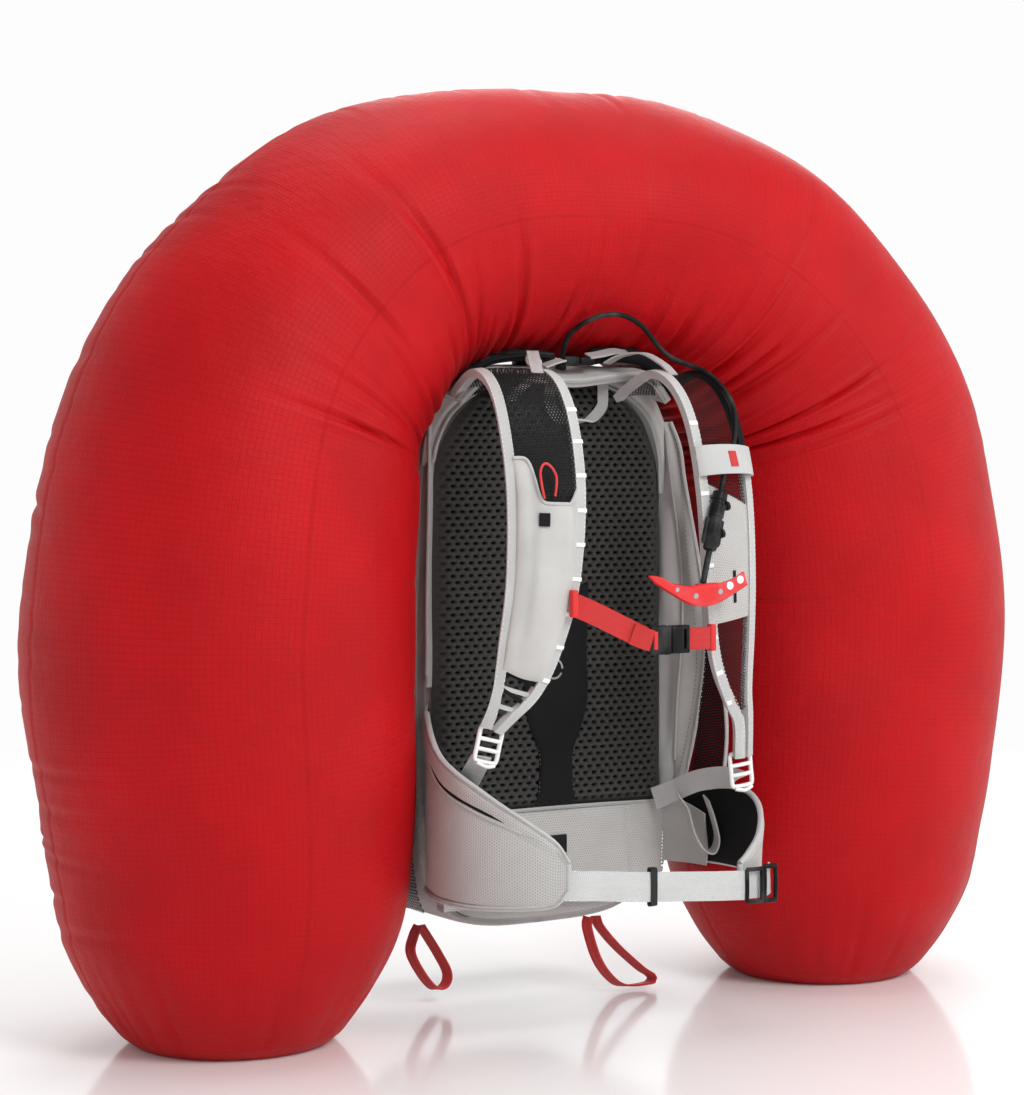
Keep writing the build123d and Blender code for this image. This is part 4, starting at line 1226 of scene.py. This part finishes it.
# ---------------------------------------------------------------- lower straps
def ladder_lock(name, centre, lean):
    """A small two-slot ladder lock as a frame of rounded bars, its foot leaning by lean degrees."""
    turn = math.radians(lean)
    x0, y0, z0 = centre
    def at(a, b, out=0.0):
        return (x0 + a * math.cos(turn) - b * math.sin(turn), y0 + out,
                z0 + a * math.sin(turn) + b * math.cos(turn))
    bars = []
    frame_line = [at(-11, 0), at(-11, 12), at(-9, 15), at(0, 15.5), at(9, 15), at(11, 12), at(11, 0), at(11,
                                                                                                         -12),
                  at(9, -15), at(0, -15.5), at(-9, -15), at(-11, -12)]
    bars.append(rope("lock", frame_line, 2.1, M["white_plastic"], "pack", 90, 12,
                     closed=True))
    for b, out in ((4.5, -1.5), (-4.5, -1.5)):
        bars.append(rope("lock", [at(-11, b, out * 0.3), at(0, b, out), at(11, b, out * 0.3)], 1.9,
                         M["white_plastic"], "pack", 14, 12))
    bars.append(rope("lock", [at(-9, -17, -2), at(0, -19, -4), at(9, -17, -2)], 1.8, M["white_plastic"],
                     "pack", 14, 12))
    return join(name, bars, "pack")


def lower_straps():
    """The webbing from the foot of each shoulder strap back to the pack, with the loose tail on the left."""
    locks = [ladder_lock("ladder_lock_right", (-134, -129.5, 266), -14),
             ladder_lock("ladder_lock_left", (131.5, -130, 228), 6)]
    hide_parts("ladder_locks")
    right = [(-122, -30, 178), (-132, -50, 196), (-139, -80, 215), (-141, -108, 234), (-139, -126, 256)]
    left = [(104, -24, 190), (112, -44, 199), (120, -72, 211), (128, -98, 217), (132, -118, 218), (132,
                                                                                                   -127,
                                                                                                   220)]
    sides = [(0, 0.2, 1), (0, 0.25, 1), (0, 0.3, 1), (-0.5, 0.2, 0.8), (-1, 0.2, 0.1)]
    made = ribbon("lower_strap_right", right, 19, 1.8, M["webbing"], sides, "pack", 50)
    sides = [(0, 0.1, 1), (0, 0.1, 1), (0, 0.1, 1), (0.1, 0.1, 1), (0.6, 0.1, 0.8), (1, 0.1, 0.2)]
    ribbon("lower_strap_left", left, [21, 20, 20, 20, 20, 20], 1.8, M["webbing"], sides, "pack",
           60)
    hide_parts("lower_webbing")
    fold = [(112, -52, 197), (118, -58, 184), (121, -64, 164), (128, -70, 148), (137, -74, 144), (141, -76,
                                                                                                  156),
            (135, -78, 176), (126, -80, 196)]
    ribbon("strap_tail_left", fold, 17, 1.5, M["grey_webbing"], (0.3, 0.95, 0.1), "pack", 70)
    block_mesh("corner_tab", (128, -20, 128), (138, -16, 147), M["red_webbing"], "pack", 1.2)


# ---------------------------------------------------------------- hip belt
BELT_Y, BELT_Z = -193.0, 140.0
# Plan path, low edge and high edge of each wing: (distance from the middle, y, low, high)
WING_RIGHT = [(128, -9, 128, 290), (139, -28, 128, 287), (148, -48, 128, 280), (156, -70, 128, 268),
              (161, -92, 128, 256), (162, -113, 128, 246), (158, -134, 128, 237), (149, -152, 128, 226),
              (136, -168, 129, 213), (120, -181, 130, 200), (106, -189, 132, 188), (97, -193, 137, 179),
              (92, -195, 146, 168)]
WING_LEFT = [(128, -9, 132, 190), (137, -28, 132, 194), (144, -50, 132, 199), (149, -72, 132, 203),
             (151, -94, 132, 204), (149, -114, 132, 202), (144, -134, 133, 196), (135, -152, 134, 186),
             (122, -168, 135, 174), (108, -178, 137, 163), (96, -184, 140, 156), (90, -186, 144, 152)]


def wing_grid(sign, rows, cols, low_share=0.0, high_share=1.0):
    """The mid-surface of a wing and its outward directions."""
    line = np.array([(sign * x, y, low, high) for x, y, low, high in (WING_LEFT if sign > 0 else WING_RIGHT)])
    path = spline(np.column_stack([line[:, 0], line[:, 1], 0 * line[:, 0], line[:, 2], line[:, 3]]), rows)
    share = np.linspace(low_share, high_share, cols)
    grid = np.zeros((rows, cols, 3))
    grid[..., 0] = path[:, None, 0]
    grid[..., 1] = path[:, None, 1]
    grid[..., 2] = path[:, None, 3] + (path[:, 4] - path[:, 3])[:, None] * share[None]
    plan = np.stack([path[:, 0], path[:, 1], 0 * path[:, 0]], axis=1)
    ahead = unit(np.gradient(plan, axis=0))
    outward = np.cross(ahead, [0, 0, 1]) * (1 if sign > 0 else -1)
    if outward[rows // 2][0] * sign < 0:
        outward = -outward
    return grid, outward


def wing(side, sign):
    """One padded hip wing from the pack out to its tip, left unattached to its swinging body."""
    body = f"{side}_wing"
    rows, cols = 90, 40
    grid, outward = wing_grid(sign, rows, cols)
    lean = np.linspace(0, 1, cols)[None, :, None]
    grid = grid + outward[:, None] * (lean ** 2) * 3.0
    soft = edge_soft(rows, cols, 3.8, 0.10, 0.3)
    if (normals_of(grid)[45, 20] @ outward[45]) < 0:
        grid = grid[:, ::-1]
    piece = slab(f"wing_{side}", grid, soft, soft, M["pack_side"], None, M["black_cloth"])
    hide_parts(f"hip_wing_{side}")
    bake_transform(piece)
    return grid, outward, body


def wing_trim(side, sign):
    """Piping round the wing, and on the right a zipped pocket panel with its open mouth."""
    body = f"{side}_wing"
    rows, cols = 60, 24
    grid, outward = wing_grid(sign, rows, cols)
    top = grid[:, -1] + outward * 3.0 + np.array([0, 0, 0.5])
    low = grid[:, 0]
    tip = grid[-1]
    start = 8
    rope(f"wing_top_piping_{side}", list(top[start::6]) + [top[-1]], 2.8, M["binding"], body,
         80)
    low = low + outward * 3.0
    tip = tip + outward[-1] * 3.0
    rope(f"wing_low_piping_{side}", list(low[start::6]) + [low[-1]], 2.6, M["binding"], body,
         80)
    rope(f"wing_tip_piping_{side}", list(tip[::5]) + [tip[-1]], 2.7, M["binding"], body, 24)
    if side == "right":
        share = np.linspace(0, 1, cols)
        panel = grid[start:].copy()
        count = len(panel)
        along = np.linspace(0, 1, count)
        mouth = 0.93 - 0.13 * np.sin(along * math.pi)
        low_z, high_z = panel[:, 0, 2], panel[:, -1, 2]
        panel[..., 2] = low_z[:, None] + (high_z - low_z)[:,
                                                          None] * (0.03 + (mouth[:,
                                                                                 None] - 0.03) * share[None])
        puff = 3.6 + 3.6 * np.sin(along[:,
                                        None] * math.pi) ** 0.6 * np.sin(share[None] * math.pi * 0.92) ** 0.7
        panel = panel + outward[start:, None] * puff[..., None]
        if (normals_of(panel)[20, 12] @ outward[20]) < 0:
            panel = panel[:, ::-1]
        slab("wing_pocket", panel, 0.8, 0.8, M["pack_side"], body)
        lip = panel[:, 0] if panel[0, 0, 2] > panel[0, -1, 2] else panel[:, -1]
        rope("wing_pocket_lip", list(lip[::6]) + [lip[-1]], 1.9, M["binding"], body, 80)
        gap = lip + np.array([0, 0, 4.2]) - outward[start:] * 1.5
        rope("wing_pocket_shadow", list(gap[:46:5]), 3.0, M["black_cloth"], body, 70)


def belt():
    """The hip belt webbing with its keeper, hook, end and frame."""
    y, z = BELT_Y, BELT_Z
    line = [(-112, y + 14, z + 9), (-98, y + 6, z + 8.5), (-80, y + 1, z + 7), (-60, y, z + 5.5), (-20,
                                                                                                   y - 0.8,
                                                                                                   z + 1.5),
            (20, y - 0.8, z - 1.5), (60, y - 0.4, z - 4.5), (93, y - 0.5, z - 6.5)]
    web = ribbon("belt_strap", line, [28, 27, 26, 26, 26, 26, 26, 26], 2.0, M["webbing"], (0, 0, 1),
                 "right_wing",
                 70, 0.6)
    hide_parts("belt_webbing")
    for k, shift in enumerate((-12.6, 12.6)):
        stitches(f"belt_stitches_{k}", [(a, b - 1.4, c + shift) for a, b, c in line[:3]], M["thread"],
                 "right_wing")
    low, high = z - 13.5, z + 13.5
    ring = [(-4.5, y - 2.9, low - 1.6), (-4.5, y - 3.1, z), (-4.5, y - 2.9, high + 1.6), (-4.5, y,
                                                                                          high + 2.4),
            (-4.5, y + 2.9, high + 1.6), (-4.5, y + 3.1, z), (-4.5, y + 2.9, low - 1.6), (-4.5, y, low - 2.4)]
    keeper = []
    for shift in (-2.4, -0.8, 0.8, 2.4):
        keeper.append(rope("k", [(a + shift, b, c) for a, b, c in ring], 1.0, M["black_webbing"],
                           "belt_keeper",
                           64, 8, closed=True))
    piece = join("belt_keeper_loop", keeper, "belt_keeper")
    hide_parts("belt_keeper")
    low, high = z - 20.5, z + 6.5
    hook = [rope("h", [(x, y - 2.6, low - 1), (x, y - 3.0, (low + high) / 2), (x, y - 2.6, high + 1)], 1.9,
                 M["black_plastic"], "right_wing", 20, 12) for x in (94, 110)]
    hook += [rope("h", [(94, y - 2.6, level), (102, y - 3.4, level), (110, y - 2.6, level)], 1.9,
                  M["black_plastic"],
                  "right_wing", 16, 12) for level in (low - 1, high + 1)]
    piece = join("belt_hook_loop", hook, "belt_hook")
    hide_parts("belt_hook")
    web = ribbon("belt_end", [(128, y + 12, z - 1), (122, y + 5, z - 5), (112, y + 2.4, z - 7), (99,
                                                                                                 y + 2.2,
                                                                                                 z - 7)],
                                                                                                 25,
                 1.9, M["webbing"], (0, 0, 1), "left_wing", 30)
    frame_bars = [rope("f", [(x, y + 0.8, low - 2), (x, y + 0.2, (low + high) / 2), (x, y + 0.8, high + 2)],
                       2.2,
                       M["black_plastic"], "left_wing", 20, 12) for x in (115, 127)]
    frame_bars += [rope("f", [(115, y + 0.8, level), (121, y, level), (127, y + 0.8, level)], 2.2,
                        M["black_plastic"], "left_wing", 16, 12) for level in (low - 2,
                                                                                                high + 2)]
    piece = join("belt_frame_bars", frame_bars, "left_wing")
    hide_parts("belt_frame")


# ---------------------------------------------------------------- small loops and flaps
def loop_ribbon(name, points, y, width, thick, material, body, node, across=(0.45, -0.9, 0.1)):
    path = spline([(x, y, z) for x, z in points], 70)
    mid = ribbon_grid(path, np.repeat([across], 70, axis=0), width, 7)
    piece = slab(name, mid, thick / 2, thick / 2, material, body)
    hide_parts(node)


def loops():
    """The ski loops, the grab loop and the two load lifters."""
    loop_ribbon("ski_loop_red_right", [(-105, 75), (-110, 66), (-113, 50), (-101, 28), (-88, 14.5), (-77,
                                                                                                     16.5),
                                       (-74.5, 28), (-84, 46), (-97, 66), (-103, 75)], 60, 11, 1.8,
                M["red_webbing"], "ski_loop_right", "ski_loop_right")
    loop_ribbon("ski_loop_red_left", [(57, 75), (56, 64), (66, 35), (80, 15.5), (96, 5.5), (124, 5), (128.5,
                                                                                                      11),
                                      (115, 20.5), (89, 43), (70, 64), (65, 75)], 20, 11, 1.8,
                M["red_webbing"], "ski_loop_left", "ski_loop_left")
    loop_ribbon("grab_webbing", [(-12, 588), (-12.4, 574), (-11, 562), (0, 550.4), (15, 549), (31, 550.6),
                                 (43.5, 562),
                                 (45, 574), (44.6, 588)], -27, 10, 1.8, M["grey_webbing"], "grab_loop",
                "grab_loop", (0.9, -0.5, 0.15))
    for name, s in (("right", -1), ("left", 1)):
        line = [(s * 40, -42, 603), (s * 48, -56, 610), (s * 59, -76, 612), (s * 68, -96, 602), (s * 72,
                                                                                                 -108, 592)]
        ribbon(f"lifter_{name}", line, 11, 1.5, M["grey_webbing"], (1, 0.3 * s, 0), "pack",
                              36)
    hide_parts("load_lifters")
    ring = [(-50 + 6.5 * math.cos(a), -62 + 4 * math.sin(a), 604 + 5.5 * math.sin(a))
            for a in np.linspace(0, 2 * math.pi, 12, endpoint=False)]
    rope("lifter_ring", ring, 1.7, M["white_plastic"], "pack", 60, 10, closed=True)


# The free edge of each parted zip flap: (z, distance from the middle, y)
FLAP_LEFT = [(548, 129, -14), (530, 133, -22), (490, 135, -30), (440, 139, -40), (390, 144, -47), (340, 146,
                                                                                                   -48),
             (290, 145, -42), (240, 142, -32), (196, 138, -20)]
FLAP_RIGHT = [(548, 128, -8), (530, 129, -9), (490, 130, -10), (440, 131, -10), (390, 132, -10), (340, 132,
                                                                                                  -10),
              (306, 132, -8)]


def flaps():
    """The parted zip flaps down both sides of the harness face."""
    for name, s, places in (("right", -1, FLAP_RIGHT), ("left", 1, FLAP_LEFT)):
        rows, cols = 110, 20
        edge = spline([(s * x, y, z) for z, x, y in places], rows)
        root = np.stack([np.full(rows, s * 122.5), np.full(rows, -4.0), edge[:, 2]], axis=1)
        v = np.linspace(0, 1, cols)[None, :, None]
        mid = root[:, None] * (1 - v) + edge[:, None] * v
        wave = np.sin(v[..., 0] * math.pi * 3) * np.sin(edge[:, 2][:, None] / 37.0)
        fold = (2.6 if s > 0 else 0.6) * wave + 1.4 * np.exp(-((v[..., 0] - 0.45) / 0.06) ** 2) * (s > 0)
        mid[..., 0] += s * fold
        mid[..., 1] -= 1.2 * np.sin(edge[:, 2][:, None] / 23.0) * v[..., 0]
        slab(f"burst_flap_{name}", mid, 0.9, 0.9, M["pack"], "pack")
        rope(f"burst_flap_piping_{name}", edge[::8], 1.8, M["binding"], "pack", 110)
        if s > 0:
            pleat = mid[:, 9] + np.array([-1.2, -1.6, 0])
            rope(f"burst_flap_pleat_{name}", pleat[4:-4:8], 1.3, M["grey_webbing"], "pack",
                 100)
        inner = mid[:, 15] + np.array([-1.0, -1.4, 0])
        stitches(f"burst_flap_stitches_{name}", inner[::8], M["dark_thread"], "pack")
    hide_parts("airbag_flaps")


def gusset():
    """The dark mesh gusset between the left flap and the hip wing, and the pale cloth at the wing's root."""
    rows, cols = 50, 14
    front = spline([(141, -64, 352), (149, -72, 305), (152, -76, 258), (150, -74, 216)], rows)
    back = spline([(146, -46, 354), (145, -44, 305), (143, -40, 258), (140, -34, 206)], rows)
    v = np.linspace(0, 1, cols)[None, :, None]
    mid = back[:, None] * (1 - v) + front[:, None] * v
    slab("side_gusset", mid, 0.4, 0.4, M["strap_knit"], "pack")
    rope("side_gusset_piping", front[::6], 1.9, M["binding"], "pack", 60)
    rows, cols = 26, 30
    path = spline([(119, -14, 0), (127, -28, 0), (134, -44, 0), (138, -62, 0)], rows)
    height = np.linspace(0, 1, cols)[None]
    top = np.linspace(196, 178, rows)[:, None]
    mid = np.zeros((rows, cols, 3))
    mid[..., 0] = path[:, None, 0] + 1.5 * np.sin(height * 5)
    mid[..., 1] = path[:, None, 1]
    mid[..., 2] = 129 + (top - 129) * height
    slab("wing_root_cloth", mid, 0.8, 0.8, M["pack"], "pack")


def side_pockets():
    """A dark mesh pocket low on each side of the pack."""
    for name, s in (("right", -1), ("left", 1)):
        rows, cols = 40, 30
        z = np.linspace(96, 300, rows)[:, None]
        y = np.linspace(8, 140, cols)[None]
        slope = (y - 8) / 132
        zz = z + 0 * y - (z - 96) / 204 * slope * 36
        bulge = 3.2 + 5.0 * np.sin((z - 96) / 204 * math.pi) * np.sin(slope * math.pi) ** 0.5
        base = np.interp(zz, [96, 110, 150, 300], [122, 129, 135.5, 137.5])
        mid = np.stack([s * (base + bulge), y + 0 * z, zz], axis=2)
        slab(f"side_pocket_{name}", mid, 0.5, 0.5, M["strap_mesh"], "pack")
        top = mid[-1]
        rope(f"side_pocket_top_{name}", top[::6], 2.0, M["binding"], "pack", 40)


# ---------------------------------------------------------------- outer panel dress
def outer_dress():
    """Back of the pack: a tall zipped pocket and two compression straps."""
    y = 191.4
    outline = [(-78, y - 3, 150), (-84, y - 2, 260), (-84, y - 2, 400), (-70, y - 2, 490), (-30, y, 520),
               (0, y, 524),
               (30, y, 520), (70, y - 2, 490), (84, y - 2, 400), (84, y - 2, 260), (78, y - 3, 150)]
    rope("rear_pocket_zip", outline, 1.7, M["black_plastic"], "outer_panel", 160, 8)
    rope("rear_pocket_piping", [(x * 1.05, yy - 0.4, z + (3 if z > 500 else 0)) for x, yy, z in outline], 1.6,
         M["binding"], "outer_panel", 160, 8)
    for k, z in enumerate((214, 430)):
        line = [(-137, 168, z), (-122, 186, z), (-90, 192.6, z), (0, 194.2, z), (90, 192.6, z), (122, 186, z),
                (137, 168, z)]
        ribbon(f"compression_strap_{k}", line, 15, 1.6, M["grey_webbing"], (0, 0, 1), "outer_panel",
               90)
        buckle = [block_mesh("c1", (46, 193.6, z - 11), (62, 199, z + 11), M["black_plastic"], "outer_panel",
                             1.8),
                  block_mesh("c2", (64, 193.8, z - 10), (78, 198.6, z + 10), M["black_plastic"],
                             "outer_panel",
                             1.6)]
        join(f"compression_buckle_{k}", buckle, "outer_panel")


# ---------------------------------------------------------------- inner hardware
def hardware():
    """Finished materials for the CAD pieces that keep their CAD shape."""
    finishes = {
        "frame_plastic": ("frame_sheet", "battery_tray"),
        "aluminium": ("frame_stays",),
        "fan_plastic": ("blower_base", "blower_cover", "impeller"),
        "steel": ("blower_motor", "blower_screws", "motor_shaft", "valve_pin"),
        "black_plastic": ("inlet_collar", "battery_pack", "controller_case"),
        "silicone": ("check_valve_flap",),
        "red_plastic": ("power_button",),
        "lens": ("status_lens",),
    }
    for material, nodes in finishes.items():
        for node in nodes:
            paint(node, material)
    route = [(73.4, 28, 122), (88, 28, 126), (98, 28, 148), (98, 27, 190), (92, 26, 240), (84, 25, 290),
             (82, 25, 329.8)]
    lead = nurbs("battery_lead_cord", route, 2.2, M["cable"], "pack")
    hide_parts("battery_lead")


# ---------------------------------------------------------------- stage
def stage():
    """The pale floor and the soft lights."""
    bpy.ops.mesh.primitive_plane_add(size=12, location=(0, 0, -0.0005))
    floor = bpy.context.object
    floor.name = "floor"
    n = Nodes("floor_gloss", 0.12)
    n.shader.inputs["Specular IOR Level"].default_value = 0.5
    shade = n.mix(n.noise(3.0), (0.93, 0.93, 0.935, 1), (0.96, 0.96, 0.96, 1))
    reach = n.tree.nodes.new("ShaderNodeVectorMath")
    reach.operation = "LENGTH"
    n.tree.links.new(n.object_coords(), reach.inputs[0])
    far = n.ramp(reach.outputs["Value"], 0.7, 2.2)
    glow = n.tree.nodes.new("ShaderNodeEmission")
    glow.inputs["Color"].default_value = (1.0, 1.0, 1.0, 1)
    glow.inputs["Strength"].default_value = 0.98
    blend = n.tree.nodes.new("ShaderNodeMixShader")
    n.put(blend.inputs[0], far)
    n.tree.links.new(n.shader.outputs[0], blend.inputs[1])
    n.tree.links.new(glow.outputs[0], blend.inputs[2])
    n.tree.links.new(blend.outputs[0], n.tree.nodes["Material Output"].inputs["Surface"])
    floor.data.materials.append(n.finish(shade))

    world = bpy.data.worlds.new("studio")
    world.use_nodes = True
    tree = world.node_tree
    place = tree.nodes.new("ShaderNodeTexCoord")
    split = tree.nodes.new("ShaderNodeSeparateXYZ")
    fall = tree.nodes.new("ShaderNodeMapRange")
    tree.links.new(place.outputs["Generated"], split.inputs[0])
    tree.links.new(split.outputs[2], fall.inputs["Value"])
    fall.inputs["From Min"].default_value = 0.30
    fall.inputs["From Max"].default_value = 0.80
    fall.inputs["To Min"].default_value = 0.98
    fall.inputs["To Max"].default_value = 0.30
    background = tree.nodes["Background"]
    background.inputs["Color"].default_value = (1.0, 1.0, 1.0, 1)
    tree.links.new(fall.outputs[0], background.inputs["Strength"])
    bpy.context.scene.world = world

    for name, place, size, power in (("key", (0.5, -3.2, 2.7), 1.5, 95), ("fill", (2.8, -1.6, 1.2), 2.0, 16),
                                     ("top", (0.2, 0.3, 3.0), 2.2, 45), ("rim", (1.8, 2.6, 1.9), 1.6, 40)):
        light = bpy.data.lights.new(name, "AREA")
        light.energy = power
        light.size = size
        lamp = bpy.data.objects.new(name, light)
        bpy.context.collection.objects.link(lamp)
        lamp.location = place
        aim = np.array([0, 0, 0.42]) - np.array(place)
        lamp.rotation_euler = aim_rotation(aim)


def aim_rotation(aim):
    """The rotation that turns a lamp or camera to look along aim."""
    from mathutils import Vector
    return Vector(aim.tolist()).to_track_quat("-Z", "Y").to_euler()


def camera():
    """A level camera to the right of the pack's front, shifted down as a view camera would be."""
    azimuth, distance, height = math.radians(-30), 2.60, 0.553
    focal = 2766.0 / IMAGE_HEIGHT
    data = bpy.data.cameras.new("view")
    data.sensor_width = 36.0
    data.lens = 36.0 * focal
    data.shift_x = -35.0 / IMAGE_HEIGHT
    data.shift_y = -130.5 / IMAGE_HEIGHT
    eye = bpy.data.objects.new("view", data)
    bpy.context.collection.objects.link(eye)
    eye.location = (distance * math.sin(azimuth), -distance * math.cos(azimuth), height)
    eye.rotation_euler = (math.pi / 2, 0, -azimuth)
    eye.rotation_euler = aim_rotation(np.array([-math.sin(azimuth), math.cos(azimuth), 0.0]))
    bpy.context.scene.camera = eye


airbag()
pack_shell()
main_zip()
back_mesh()
spine()
lumbar()
yoke()
outlet_zip()
top_clip()
right_frame = shoulder_strap("right", -1)
left_frame = shoulder_strap("left", 1)
right_strap_pocket(right_frame)
left_strap_panel(left_frame)
trigger_band(left_frame)
trigger()
pocket_elastic()
sternum()
lower_straps()
for wing_side, wing_sign in (("right", -1), ("left", 1)):
    wing(wing_side, wing_sign)
    wing_trim(wing_side, wing_sign)
belt()
loops()
flaps()
gusset()
side_pockets()
outer_dress()
hardware()
stage()
camera()
bpy.context.scene.view_settings.view_transform = "Standard"
